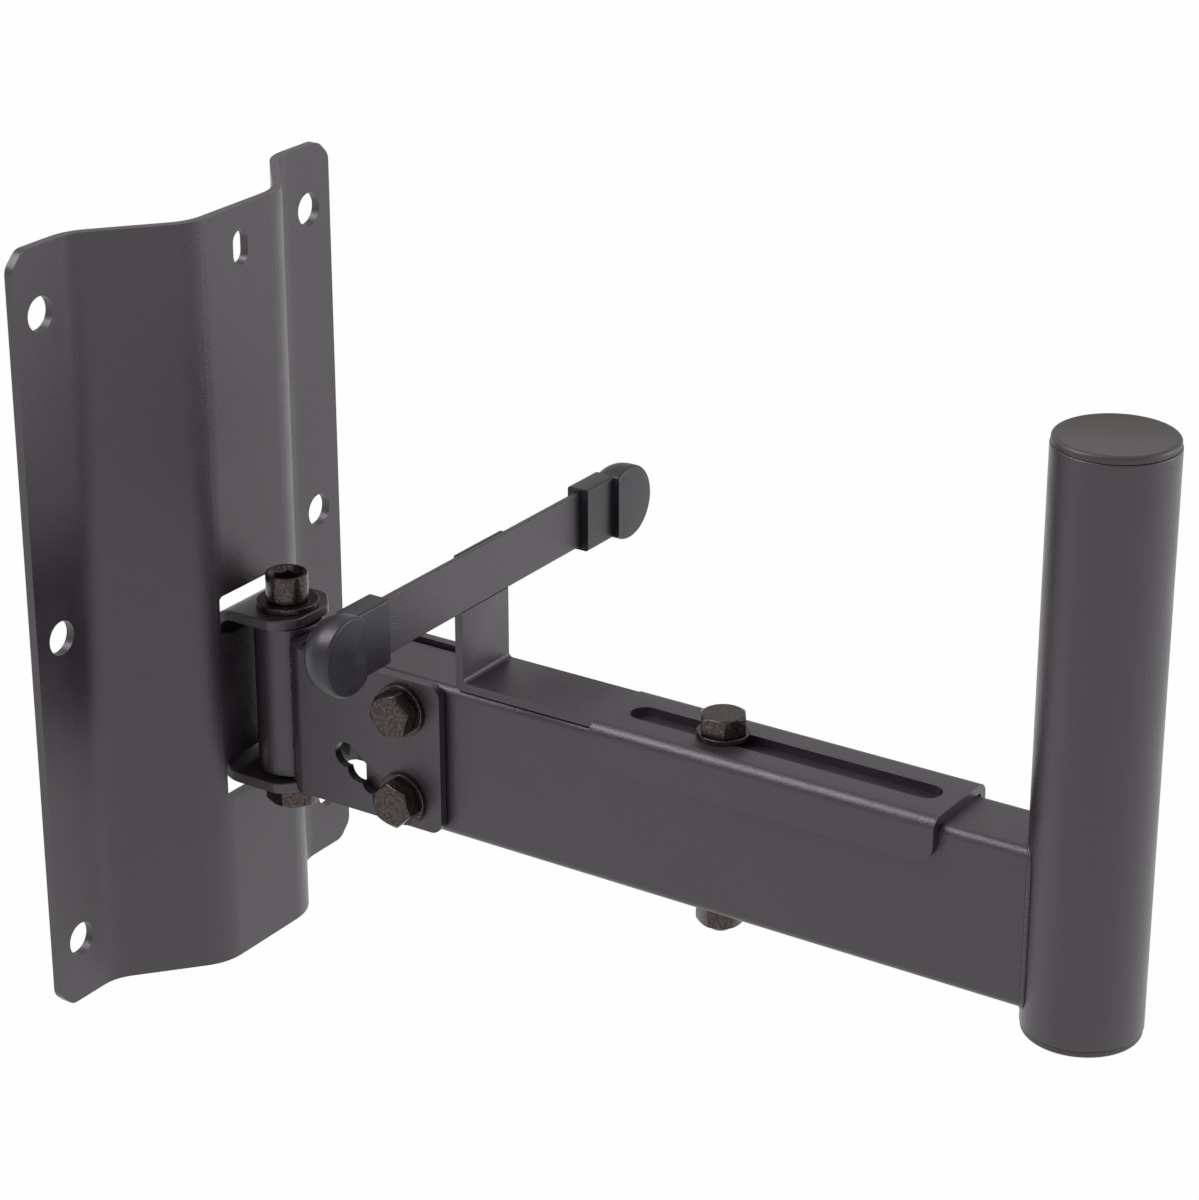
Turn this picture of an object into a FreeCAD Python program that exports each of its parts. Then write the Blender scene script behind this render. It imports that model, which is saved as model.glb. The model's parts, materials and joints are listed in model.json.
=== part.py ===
import FreeCAD, Part

import math
import os
import re

import Sketcher
from FreeCAD import Placement, Rotation, Vector

# Loudspeaker wall bracket.
# X runs along the wall, the wall is the plane y = 0, the arm reaches towards -Y, and Z is up.
# The origin is the centre of the plate's hole pattern on the wall.

# Driving sizes in millimetres, or in degrees where the name says so.
SIZES = {
    # Wall plate, one sheet folded to a hat section
    "plate_width": 150.0,
    "plate_height": 250.0,
    "plate_sheet": 3.0,
    "plate_depth": 27.0,
    "slope_angle": 40.5,
    "crown_margin": 0.1,
    "crown_bend": 18.5,
    "foot_bend": 14.0,
    "corner_cut": 5.0,
    "corner_round": 5.0,
    "wall_hole": 11.0,
    "hole_side_margin": 11.0,
    "hole_end_margin": 21.0,
    "hang_slot_width": 7.0,
    "hang_slot_length": 11.0,
    "hang_slot_drop": 13.0,
    "window_side_gap": 2.8,
    "window_end_gap": 5.2,
    "window_round": 1.5,
    # Hinge on the plate
    "hinge_drop": 32.5,
    "hinge_reach": 13.0,
    "ear_sheet": 3.5,
    "ear_width": 29.0,
    "ear_tip_width": 15.0,
    "ear_side_reach": 4.5,
    "ear_tip_reach": 10.5,
    "ear_bend": 4.5,
    "ear_corner": 4.0,
    "ear_play": 0.8,
    "barrel_diameter": 22.0,
    "barrel_length": 51.0,
    "hinge_shank": 10.0,
    "hinge_nut_across": 16.0,
    "hinge_nut_height": 8.0,
    "hinge_nut_turn_angle": -13.0,
    # Bolts, nuts and washers
    "bolt_shank": 8.0,
    "running_gap": 0.05,
    "bolt_hole_gap": 0.2,
    "bolt_proud": 2.0,
    "shank_chamfer": 0.8,
    "hex_across": 13.0,
    "hex_bevel_angle": 30.0,
    "hex_bevel_inset": 0.3,
    "hex_head_height": 5.5,
    "pivot_turn_angle": -16.0,
    "lock_turn_angle": 15.0,
    "slider_turn_angle": 33.0,
    "nut_height": 6.5,
    "socket_head_diameter": 13.5,
    "socket_head_height": 9.0,
    "socket_across": 8.0,
    "socket_depth": 5.5,
    "socket_mouth": 11.4,
    "socket_mouth_depth": 1.2,
    "socket_rim": 0.4,
    "hinge_washer_diameter": 20.0,
    "hinge_washer_thickness": 2.0,
    "tilt_washer_diameter": 17.0,
    "tilt_washer_thickness": 1.8,
    "slider_washer_diameter": 16.0,
    "slider_washer_thickness": 1.6,
    # Tilt bracket, a U channel
    "bracket_sheet": 3.0,
    "bracket_top_drop": 1.4,
    "bracket_gap": 0.5,
    "bracket_bend": 2.5,
    "bracket_corner": 4.0,
    "bracket_nose": 14.0,
    "pivot_reach": 45.0,
    "pivot_drop": 11.7,
    "lock_rise": 9.2,
    "lock_shank": 6.0,
    "notch_shift": 0.6,
    "notch_diameter": 8.4,
    "notch_step_angle": 11.5,
    "notch_count": 5,
    "notch_web": 4.5,
    # Arm, measured from the tilt pivot
    "tube_width": 25.0,
    "tube_height": 50.0,
    "tube_wall": 2.0,
    "tube_corner": 3.0,
    "tube_heel": 17.0,
    "tube_top_lift": 9.5,
    "pole_reach": 224.0,
    "pole_diameter": 35.0,
    "pole_wall": 2.0,
    "pole_above": 118.2,
    "pole_below": 5.1,
    "pole_weld_leg": 1.2,
    "pole_weld_bevel": 0.8,
    "cap_thickness": 2.2,
    "cap_plug_depth": 14.0,
    "cap_plug_gap": 0.1,
    "cap_inset": 0.3,
    "cap_edge": 0.6,
    "cap_hollow": 3.0,
    # Stop slider, measured from the tilt pivot
    "slider_sheet": 2.8,
    "strip_width": 24.0,
    "slider_gap": 0.2,
    "slider_bend": 1.0,
    "slider_skirt": 14.0,
    "slider_skirt_corner": 6.0,
    "upright_reach": 20.5,
    "upright_height": 43.7,
    "upright_bend": 1.5,
    "heel_round": 1.5,
    "skirt_start_reach": 68.0,
    "slider_end_reach": 183.0,
    "slot_start_reach": 73.5,
    "slot_length": 103.5,
    "slot_width": 9.0,
    "slider_bolt_reach": 105.0,
    # Crossbar and its end pads
    "bar_length": 148.0,
    "bar_height": 18.0,
    "bar_sheet": 2.0,
    "sleeve_start": 51.5,
    "sleeve_length": 14.2,
    "sleeve_height": 20.5,
    "sleeve_wall": 2.8,
    "sleeve_round": 1.0,
    "pad_diameter": 24.0,
    "pad_flat": 6.7,
    "pad_front_rise": 2.2,
    "pad_back_rise": 3.0,
    "pad_back_round": 9.3,
    "pad_front_edge": 0.9,
    # Weld beads
    "weld_radius": 2.4,
    "small_weld_radius": 1.8,
    "weld_end_gap": 5.0,
}

# Places that follow from the driving sizes.
PLACES = {
    "plate_back_face": "-1 * (plate_depth - plate_sheet)",
    "bend_shift": "plate_sheet * tan(slope_angle / 2)",
    "crown_half": "ear_width / 2 + crown_margin + crown_bend * tan(slope_angle / 2)",
    "foot_half": "crown_half + (plate_depth - plate_sheet) / tan(slope_angle)",
    "hinge_y": "-1 * (plate_depth + hinge_reach)",
    "hinge_z": "-1 * hinge_drop",
    "ear_gap": "barrel_length + 2 * ear_play",
    "ear_foot": "hinge_z - ear_gap / 2 - ear_sheet",
    "ear_top": "hinge_z + ear_gap / 2 + ear_sheet",
    "ear_centre_lift": "ear_gap / 2 + ear_sheet / 2",
    "window_width": "ear_width + 2 * window_side_gap",
    "window_height": "ear_sheet + 2 * window_end_gap",
    "bracket_face_y": "hinge_y - barrel_diameter / 2",
    "bracket_inner_y": "bracket_face_y - bracket_sheet",
    "bracket_half": "tube_width / 2 + bracket_gap + bracket_sheet",
    "bracket_foot": "hinge_z - barrel_length / 2",
    "bracket_height": "barrel_length - bracket_top_drop",
    "pivot_y": "bracket_face_y - pivot_reach",
    "pivot_z": "hinge_z + barrel_length / 2 - pivot_drop",
    "lock_radius": "barrel_length - pivot_drop - lock_rise",
    "notch_radius": "lock_radius + notch_shift",
    "bracket_end_y": "pivot_y - bracket_nose",
    "lock_z": "pivot_z - lock_radius",
    "tube_top": "pivot_z + tube_top_lift",
    "tube_foot": "tube_top - tube_height",
    "tube_heel_y": "pivot_y + tube_heel",
    "pole_y": "pivot_y - pole_reach",
    "pole_top": "tube_top + pole_above",
    "pole_foot": "tube_foot - pole_below",
    "weld_top": "tube_top + pole_weld_leg",
    "strip_top": "tube_top + slider_sheet",
    "upright_face_y": "pivot_y - upright_reach",
    "upright_top": "tube_top + upright_height",
    "skirt_start_y": "pivot_y - skirt_start_reach",
    "slider_end_y": "pivot_y - slider_end_reach",
    "skirt_inner_half": "tube_width / 2 + slider_gap",
    "skirt_outer_half": "skirt_inner_half + slider_sheet",
    "slot_start_y": "pivot_y - slot_start_reach",
    "slider_bolt_y": "pivot_y - slider_bolt_reach",
    "bar_top": "upright_top",
    "bar_middle_z": "bar_top - bar_height / 2",
    "bar_back_y": "upright_face_y + bar_sheet",
    "sleeve_front_y": "upright_face_y - sleeve_wall",
    "sleeve_back_y": "bar_back_y + sleeve_wall",
    "pad_flat_x": "sleeve_start + sleeve_length",
    "pad_centre_x": "pad_flat_x + pad_flat",
}

ORIGIN = -1
START, END, CENTRE = 1, 2, 3
TOLERANCE = 1e-4
NEAR = 0.01
OVERRUN = 1
WORD = re.compile(r"[a-z][a-z_]*")

doc = FreeCAD.newDocument("WallBracket")
sheet = doc.addObject("Spreadsheet::Sheet", "Sizes")


def fill_sheet():
    """Write each driving size in a cell of its own and name the cell."""
    for row, (alias, size) in enumerate(SIZES.items(), start=1):
        sheet.set(f"A{row}", alias.replace("_", " "))
        sheet.set(f"B{row}", str(size))
        sheet.setAlias(f"B{row}", alias)
    doc.recompute()


def spell(formula):
    """Turn a formula in the names above into an expression on the sheet."""

    def replace(match):
        word = match.group(0)
        if word in PLACES:
            return f"({spell(PLACES[word])})"
        if word in SIZES:
            return f"Sizes.{word}"
        return word

    return WORD.sub(replace, formula)


def value(formula):
    """Work out a formula as a plain number."""
    result = sheet.evalExpression(spell(formula))
    return float(getattr(result, "Value", result))


def bind(item, formulas):
    """Bind properties of an object to formulas."""
    for path, formula in formulas.items():
        item.setExpression(path, spell(formula))


def move(item, x="0", y="0", z="0", turn=None):
    """Turn an object and bind its place."""
    item.Placement = Placement(Vector(0, 0, 0), turn or Rotation())
    bind(item, {"Placement.Base.x": x, "Placement.Base.y": y, "Placement.Base.z": z})


# Sketches

def new_body(name):
    """Start a sub-part."""
    body = doc.addObject("PartDesign::Body", name)
    body.Label = name
    return body


def new_sketch(body, name, plane, x="0", y="0", lift="0"):
    """Attach a sketch to one of the body's own planes, shifted in it and off it."""
    sketch = body.newObject("Sketcher::SketchObject", f"{body.Name}_{name}")
    support = next(item for item in body.Origin.OriginFeatures if item.Role == plane)
    sketch.AttachmentSupport = (support, [""])
    sketch.MapMode = "FlatFace"
    bind(sketch, {
        "AttachmentOffset.Base.x": x,
        "AttachmentOffset.Base.y": y,
        "AttachmentOffset.Base.z": lift,
    })
    return sketch


def dimension(sketch, kind, geometry, point, formula):
    """Dimension a point of the sketch from its origin."""
    row = sketch.addConstraint(
        Sketcher.Constraint(kind, ORIGIN, START, geometry, point, value(formula)))
    sketch.setExpression(f"Constraints[{row}]", spell(formula))


def draw_corners(sketch, corners):
    """Draw a closed outline of straight lines through dimensioned corners."""
    points = [Vector(value(x), value(y), 0) for x, y in corners]
    first = sketch.GeometryCount
    for index, start in enumerate(points):
        end = points[(index + 1) % len(points)]
        sketch.addGeometry(Part.LineSegment(start, end), False)
    for index, (x, y) in enumerate(corners):
        line = first + index
        following = first + (index + 1) % len(corners)
        sketch.addConstraint(Sketcher.Constraint("Coincident", line, END, following, START))
        dimension(sketch, "DistanceX", line, START, x)
        dimension(sketch, "DistanceY", line, START, y)


def draw_rectangle(sketch, left, right, low, high):
    """Draw a rectangle between four dimensioned sides."""
    draw_corners(sketch, [(left, low), (right, low), (right, high), (left, high)])


def draw_circle(sketch, x, y, diameter):
    """Draw a dimensioned circle."""
    shape = Part.Circle(Vector(value(x), value(y), 0), Vector(0, 0, 1), value(diameter) / 2)
    circle = sketch.addGeometry(shape, False)
    dimension(sketch, "DistanceX", circle, CENTRE, x)
    dimension(sketch, "DistanceY", circle, CENTRE, y)
    row = sketch.addConstraint(Sketcher.Constraint("Diameter", circle, value(diameter)))
    sketch.setExpression(f"Constraints[{row}]", spell(diameter))


def draw_round_outline(sketch, centres, radius):
    """Draw a convex outline of equal arcs about dimensioned centres, joined by tangent lines."""
    size = value(radius)
    points = [Vector(value(x), value(y), 0) for x, y in centres]
    offsets = []
    for index, point in enumerate(points):
        run = (points[(index + 1) % len(points)] - point).normalize()
        offsets.append(Vector(run.y, -run.x, 0) * size)
    lines, arcs = [], []
    for index, point in enumerate(points):
        following = points[(index + 1) % len(points)]
        line = Part.LineSegment(point + offsets[index], following + offsets[index])
        lines.append(sketch.addGeometry(line, False))
        before, after = offsets[index - 1], offsets[index]
        start = math.atan2(before.y, before.x)
        turn = (math.atan2(after.y, after.x) - start) % (2 * math.pi)
        circle = Part.Circle(point, Vector(0, 0, 1), size)
        arcs.append(sketch.addGeometry(Part.ArcOfCircle(circle, start, start + turn), False))
    for index, (x, y) in enumerate(centres):
        arc, line, line_before = arcs[index], lines[index], lines[index - 1]
        sketch.addConstraint(Sketcher.Constraint("Tangent", arc, END, line, START))
        sketch.addConstraint(Sketcher.Constraint("Tangent", arc, START, line_before, END))
        dimension(sketch, "DistanceX", arc, CENTRE, x)
        dimension(sketch, "DistanceY", arc, CENTRE, y)
        row = sketch.addConstraint(Sketcher.Constraint("Radius", arc, size))
        sketch.setExpression(f"Constraints[{row}]", spell(radius))


def draw_slot(sketch, x, low, high, width):
    """Draw an upright slot with round ends between its lowest and highest point."""
    radius = f"({width}) / 2"
    draw_round_outline(sketch, [(x, f"{high} - {radius}"), (x, f"{low} + {radius}")], radius)


def draw_round_rectangle(sketch, left, right, low, high, radius):
    """Draw a rectangle with round corners between four dimensioned sides."""
    draw_round_outline(sketch, [
        (f"{right} - {radius}", f"{high} - {radius}"),
        (f"{left} + {radius}", f"{high} - {radius}"),
        (f"{left} + {radius}", f"{low} + {radius}"),
        (f"{right} - {radius}", f"{low} + {radius}"),
    ], radius)


# Features

def pad(body, name, sketch, length, side="One side", backwards=False):
    """Raise a sketch into a solid."""
    feature = body.newObject("PartDesign::Pad", f"{body.Name}_{name}")
    feature.Profile = sketch
    feature.SideType = side
    feature.Reversed = backwards
    bind(feature, {"Length": length})
    doc.recompute()
    return feature


def recompute_cut(body, feature):
    """Work out a cut, and see that it took some of the body and not all."""
    before = body.Shape.Volume
    doc.recompute()
    if body.Shape.isNull() or not 0 < body.Shape.Volume < before - TOLERANCE:
        raise RuntimeError(f"{feature.Name} cut nothing or everything")
    return feature


def pocket(body, name, sketch, length, backwards=False):
    """Cut a sketch out of the body to a depth."""
    feature = body.newObject("PartDesign::Pocket", f"{body.Name}_{name}")
    feature.Profile = sketch
    feature.Reversed = backwards
    bind(feature, {"Length": length})
    return recompute_cut(body, feature)


def cut_through(body, name, sketch):
    """Cut a sketch right through the body, both ways from its plane."""
    feature = body.newObject("PartDesign::Pocket", f"{body.Name}_{name}")
    feature.Profile = sketch
    feature.SideType = "Symmetric"
    feature.Type = "ThroughAll"
    return recompute_cut(body, feature)


def revolve(body, name, sketch):
    """Turn a sketch round its own upright axis into a solid."""
    feature = body.newObject("PartDesign::Revolution", f"{body.Name}_{name}")
    feature.Profile = sketch
    feature.ReferenceAxis = (sketch, ["V_Axis"])
    doc.recompute()
    return feature


def groove(body, name, sketch, axis, angle="360"):
    """Turn a sketch round one of its own axes and take it off the body."""
    feature = body.newObject("PartDesign::Groove", f"{body.Name}_{name}")
    feature.Profile = sketch
    feature.ReferenceAxis = (sketch, [axis])
    bind(feature, {"Angle": angle})
    return recompute_cut(body, feature)


def edges_where(body, test):
    """Name the edges of the body's present shape that pass a test."""
    doc.recompute()
    return [f"Edge{index}" for index, edge in enumerate(body.Shape.Edges, start=1) if test(edge)]


def round_edges(body, name, test, radius, kind="PartDesign::Fillet"):
    """Round or chamfer the edges that pass a test."""
    names = edges_where(body, test)
    if not names:
        raise RuntimeError(f"{body.Name}_{name} finds no edge")
    base = body.Tip
    feature = body.newObject(kind, f"{body.Name}_{name}")
    feature.Base = (base, names)
    bind(feature, {"Radius" if kind == "PartDesign::Fillet" else "Size": radius})
    doc.recompute()
    if "Invalid" in feature.State:
        raise RuntimeError(f"{feature.Name} failed")
    return feature


def chamfer_edges(body, name, test, size):
    """Chamfer the edges that pass a test."""
    return round_edges(body, name, test, size, "PartDesign::Chamfer")


def along(edge, direction):
    """Say whether an edge is a straight line along a direction."""
    if not isinstance(edge.Curve, Part.Line):
        return False
    return abs(abs(edge.tangentAt(edge.FirstParameter).dot(direction)) - 1) < TOLERANCE


def near(number, target):
    """Say whether two lengths are the same."""
    return abs(number - target) < NEAR


def is_circle_at(edge, axis, place):
    """Say whether an edge is a circle that lies at a place along an axis."""
    return isinstance(edge.Curve, Part.Circle) and near(getattr(middle(edge), axis), place)


def middle(edge):
    """Find the point halfway along an edge."""
    return edge.valueAt((edge.FirstParameter + edge.LastParameter) / 2)


X_AXIS, Y_AXIS, Z_AXIS = Vector(1, 0, 0), Vector(0, 1, 0), Vector(0, 0, 1)


# Fasteners, each drawn with its seat at z = 0 and its shank along -Z

def hexagon(across):
    """List the corners of a hexagon of a width across flats."""
    return [(f"({across}) / sqrt(3) * cos({turn})", f"({across}) / sqrt(3) * sin({turn})")
            for turn in range(0, 360, 60)]


def bevel_hexagon(body, name, across, level):
    """Turn the corners of a hexagon down to a cone at its upper end."""
    sketch = new_sketch(body, name, "XZ_Plane")
    inner = f"({across}) / 2 - hex_bevel_inset"
    outer = f"({across}) / sqrt(3) + {OVERRUN}"
    fall = f"({outer} - ({inner})) * tan(hex_bevel_angle)"
    draw_corners(sketch, [
        (inner, level),
        (outer, f"{level} - {fall}"),
        (outer, f"{level} + {OVERRUN}"),
        (inner, f"{level} + {OVERRUN}"),
    ])
    groove(body, f"{name}_cut", sketch, "V_Axis")


def add_shank(body, diameter, length):
    """Add the shank below a bolt's head, with its end chamfered."""
    outline = new_sketch(body, "shank_outline", "XY_Plane")
    draw_circle(outline, "0", "0", diameter)
    pad(body, "shank", outline, length, backwards=True)
    end = -value(length)
    chamfer_edges(body, "shank_end", lambda edge: is_circle_at(edge, "z", end), "shank_chamfer")


def hex_bolt(name, shank, length):
    """Make a hexagon-headed bolt."""
    body = new_body(name)
    head = new_sketch(body, "head_outline", "XY_Plane")
    draw_corners(head, hexagon("hex_across"))
    pad(body, "head", head, "hex_head_height")
    bevel_hexagon(body, "head_bevel", "hex_across", "hex_head_height")
    add_shank(body, shank, length)
    return body


def socket_bolt(name, shank, length):
    """Make a socket head cap screw."""
    body = new_body(name)
    head = new_sketch(body, "head_outline", "XY_Plane")
    draw_circle(head, "0", "0", "socket_head_diameter")
    pad(body, "head", head, "socket_head_height")
    top = value("socket_head_height")
    chamfer_edges(body, "head_rim", lambda edge: is_circle_at(edge, "z", top), "socket_rim")
    socket = new_sketch(body, "socket_outline", "XY_Plane", lift="socket_head_height")
    draw_corners(socket, hexagon("socket_across"))
    pocket(body, "socket", socket, "socket_depth")
    mouth = new_sketch(body, "mouth", "XZ_Plane")
    draw_corners(mouth, [
        ("0", "socket_head_height - socket_mouth_depth"),
        ("socket_mouth / 2 - socket_mouth_depth", "socket_head_height - socket_mouth_depth"),
        ("socket_mouth / 2", "socket_head_height"),
        ("0", "socket_head_height"),
    ])
    groove(body, "mouth_cut", mouth, "V_Axis")
    add_shank(body, shank, length)
    return body


def hex_nut(name, shank, height, across="hex_across"):
    """Make a hexagon nut that stands on z = 0."""
    body = new_body(name)
    outline = new_sketch(body, "outline", "XY_Plane")
    draw_corners(outline, hexagon(across))
    draw_circle(outline, "0", "0", f"{shank} + 2 * running_gap")
    pad(body, "block", outline, height)
    bevel_hexagon(body, "top_bevel", across, height)
    return body


def cylinder(name, diameter, length, x="0", y="0", z="0", turn=None):
    """Make a round bar of a diameter and length."""
    item = doc.addObject("Part::Cylinder", name)
    bind(item, {"Radius": f"({diameter}) / 2", "Height": length})
    move(item, x, y, z, turn)
    return item


def box(name, length, width, height, x, y, z):
    """Make a box from its low corner."""
    item = doc.addObject("Part::Box", name)
    bind(item, {"Length": length, "Width": width, "Height": height})
    move(item, x, y, z)
    return item


def cut(name, base, tool):
    """Cut one solid from another."""
    item = doc.addObject("Part::Cut", name)
    item.Base = base
    item.Tool = tool
    item.Label = name
    return item


def bead(name, radius, length, x, y, z, first, second):
    """Lay a weld bead up the corner where two pieces meet."""
    bar = cylinder(f"{name}_bar", f"2 * ({radius})", length, x, y, z)
    return cut(f"{name}_trimmed", cut(f"{name}_open", bar, first), second)


def group(name, items):
    """Keep like pieces together as separate solids under one name."""
    item = doc.addObject("Part::Compound", name)
    item.Links = items
    item.Label = name
    return item


def washer(name, diameter, hole, thickness, x="0", y="0", z="0", turn=None):
    """Make a flat washer from its seat."""
    disc = cylinder(f"{name}_disc", diameter, thickness, x, y, z, turn)
    bore = cylinder(f"{name}_bore", hole, thickness, x, y, z, turn)
    return cut(name, disc, bore)


ALONG_MINUS_X = Rotation(Vector(0, 1, 0), -90)
ALONG_PLUS_X = Rotation(Vector(0, 1, 0), 90)
UPSIDE_DOWN = Rotation(Vector(1, 0, 0), 180)


def turned(rotation, angle):
    """Turn a fastener about its own shank before it is laid along its axis."""
    return rotation.multiply(Rotation(Z_AXIS, value(angle)))


# Wall side

def make_wall_plate():
    """Fold the plate, then cut its holes, hanging slot and the two hinge windows."""
    body = new_body("wall_plate")
    section = new_sketch(body, "section", "XY_Plane")
    front = [
        ("plate_width / 2", "-1 * plate_sheet"),
        ("foot_half", "-1 * plate_sheet"),
        ("crown_half", "-1 * plate_depth"),
    ]
    back = [
        ("(crown_half - bend_shift)", "plate_back_face"),
        ("(foot_half - bend_shift)", "0"),
        ("plate_width / 2", "0"),
    ]
    left_front = [(f"-1 * {x}", y) for x, y in reversed(front)]
    left_back = [(f"-1 * {x}", y) for x, y in reversed(back)]
    draw_corners(section, front + left_front + left_back + back)
    pad(body, "sheet", section, "plate_height", "Symmetric")

    bends = [
        ("crown_front", "crown_half", "-1 * plate_depth", "crown_bend"),
        ("crown_back", "crown_half - bend_shift", "plate_back_face", "crown_bend - plate_sheet"),
        ("foot_front", "foot_half", "-1 * plate_sheet", "foot_bend"),
        ("foot_back", "foot_half - bend_shift", "0", "foot_bend + plate_sheet"),
    ]
    for name, x, y, radius in bends:
        place_x, place_y = value(x), value(y)
        round_edges(body, name,
                    lambda edge: along(edge, Z_AXIS) and near(abs(middle(edge).x), place_x)
                    and near(middle(edge).y, place_y), radius)

    side, top = value("plate_width / 2"), value("plate_height / 2")
    chamfer_edges(body, "corner_cuts",
                  lambda edge: along(edge, Y_AXIS) and near(abs(middle(edge).x), side)
                  and near(abs(middle(edge).z), top), "corner_cut")
    side_start, top_start = side - value("corner_cut"), top - value("corner_cut")
    round_edges(body, "corner_rounds",
                lambda edge: along(edge, Y_AXIS) and abs(middle(edge).x) > side_start - NEAR
                and abs(middle(edge).z) > top_start - NEAR, "corner_round")

    holes = new_sketch(body, "holes", "XZ_Plane")
    for across in ("-1", "1"):
        for up in ("-1", "0", "1"):
            draw_circle(holes, f"{across} * (plate_width / 2 - hole_side_margin)",
                        f"{up} * (plate_height / 2 - hole_end_margin)", "wall_hole")
    cut_through(body, "wall_holes", holes)

    hang_slot = new_sketch(body, "hang_slot", "XZ_Plane")
    centre = "plate_height / 2 - hang_slot_drop"
    draw_slot(hang_slot, "0", f"{centre} - hang_slot_length / 2", f"{centre} + hang_slot_length / 2",
              "hang_slot_width")
    cut_through(body, "hang_slot_cut", hang_slot)

    windows = new_sketch(body, "windows", "XZ_Plane")
    for sign in ("-1", "1"):
        level = f"hinge_z + {sign} * ear_centre_lift"
        draw_round_rectangle(windows, "-1 * window_width / 2", "window_width / 2",
                             f"{level} - window_height / 2", f"{level} + window_height / 2",
                             "window_round")
    cut_through(body, "windows_cut", windows)
    return body


def make_hinge_clevis():
    """Bend a strip to a U whose ears pass through the plate's windows."""
    body = new_body("hinge_clevis")
    plan = new_sketch(body, "plan", "XY_Plane", lift="ear_foot")
    side, tip = "ear_width / 2", "ear_tip_width / 2"
    right = [
        (side, "plate_back_face + ear_sheet"),
        (side, "hinge_y - ear_side_reach"),
        (tip, "hinge_y - ear_tip_reach"),
    ]
    left = [(f"-1 * {x}", y) for x, y in reversed(right)]
    draw_corners(plan, right + left)
    pad(body, "block", plan, "ear_top - ear_foot")

    throat = new_sketch(body, "throat", "YZ_Plane")
    draw_rectangle(throat, f"hinge_y - ear_tip_reach - {OVERRUN}", "plate_back_face",
                   "hinge_z - ear_gap / 2", "hinge_z + ear_gap / 2")
    cut_through(body, "throat_cut", throat)
    inner_y, outer_y = value("plate_back_face"), value("plate_back_face + ear_sheet")
    round_edges(body, "inner_bends",
                lambda edge: along(edge, X_AXIS) and near(middle(edge).y, inner_y), "ear_bend")
    round_edges(body, "outer_bends",
                lambda edge: along(edge, X_AXIS) and near(middle(edge).y, outer_y), "ear_bend + ear_sheet")
    shoulder_y, tip_y = value("hinge_y - ear_side_reach"), value("hinge_y - ear_tip_reach")
    round_edges(body, "ear_corners",
                lambda edge: along(edge, Z_AXIS)
                and (near(middle(edge).y, shoulder_y) or near(middle(edge).y, tip_y)), "ear_corner")

    bore = new_sketch(body, "bore", "XY_Plane")
    draw_circle(bore, "0", "hinge_y", "hinge_shank + 2 * bolt_hole_gap")
    cut_through(body, "bore_cut", bore)
    return body


def make_clevis_welds(plate, clevis):
    """Lay a bead down each side of the clevis, where its web meets the back of the plate."""
    length = "(ear_gap - 2 * ear_bend - 2 * weld_end_gap)"
    return group("clevis_welds", [
        bead(f"clevis_bead_{side}", "small_weld_radius", length, f"{sign} * ear_width / 2",
             "plate_back_face", f"hinge_z - {length} / 2", clevis, plate)
        for side, sign in (("left", -1), ("right", 1))
    ])


def make_hinge_fasteners():
    """Stand the hinge bolt in the ears, with its washer on top and its nut below."""
    length = "hinge_washer_thickness + ear_top - ear_foot + hinge_nut_height + bolt_proud"
    bolt = socket_bolt("hinge_bolt", "hinge_shank", length)
    move(bolt, "0", "hinge_y", "ear_top + hinge_washer_thickness")
    ring = washer("hinge_washer", "hinge_washer_diameter", "hinge_shank + 2 * bolt_hole_gap",
                  "hinge_washer_thickness", "0", "hinge_y", "ear_top")
    nut = hex_nut("hinge_nut", "hinge_shank", "hinge_nut_height", "hinge_nut_across")
    move(nut, "0", "hinge_y", "ear_foot", turned(UPSIDE_DOWN, "hinge_nut_turn_angle"))
    return [bolt, ring, nut]


# Swinging head

def make_hinge_barrel():
    """Bore a round bar to run on the hinge bolt."""
    bar = cylinder("barrel_bar", "barrel_diameter", "barrel_length", "0", "hinge_y", "bracket_foot")
    bore = cylinder("barrel_bore", "hinge_shank + 2 * running_gap", "barrel_length",
                    "0", "hinge_y", "bracket_foot")
    return cut("hinge_barrel", bar, bore)


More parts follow.
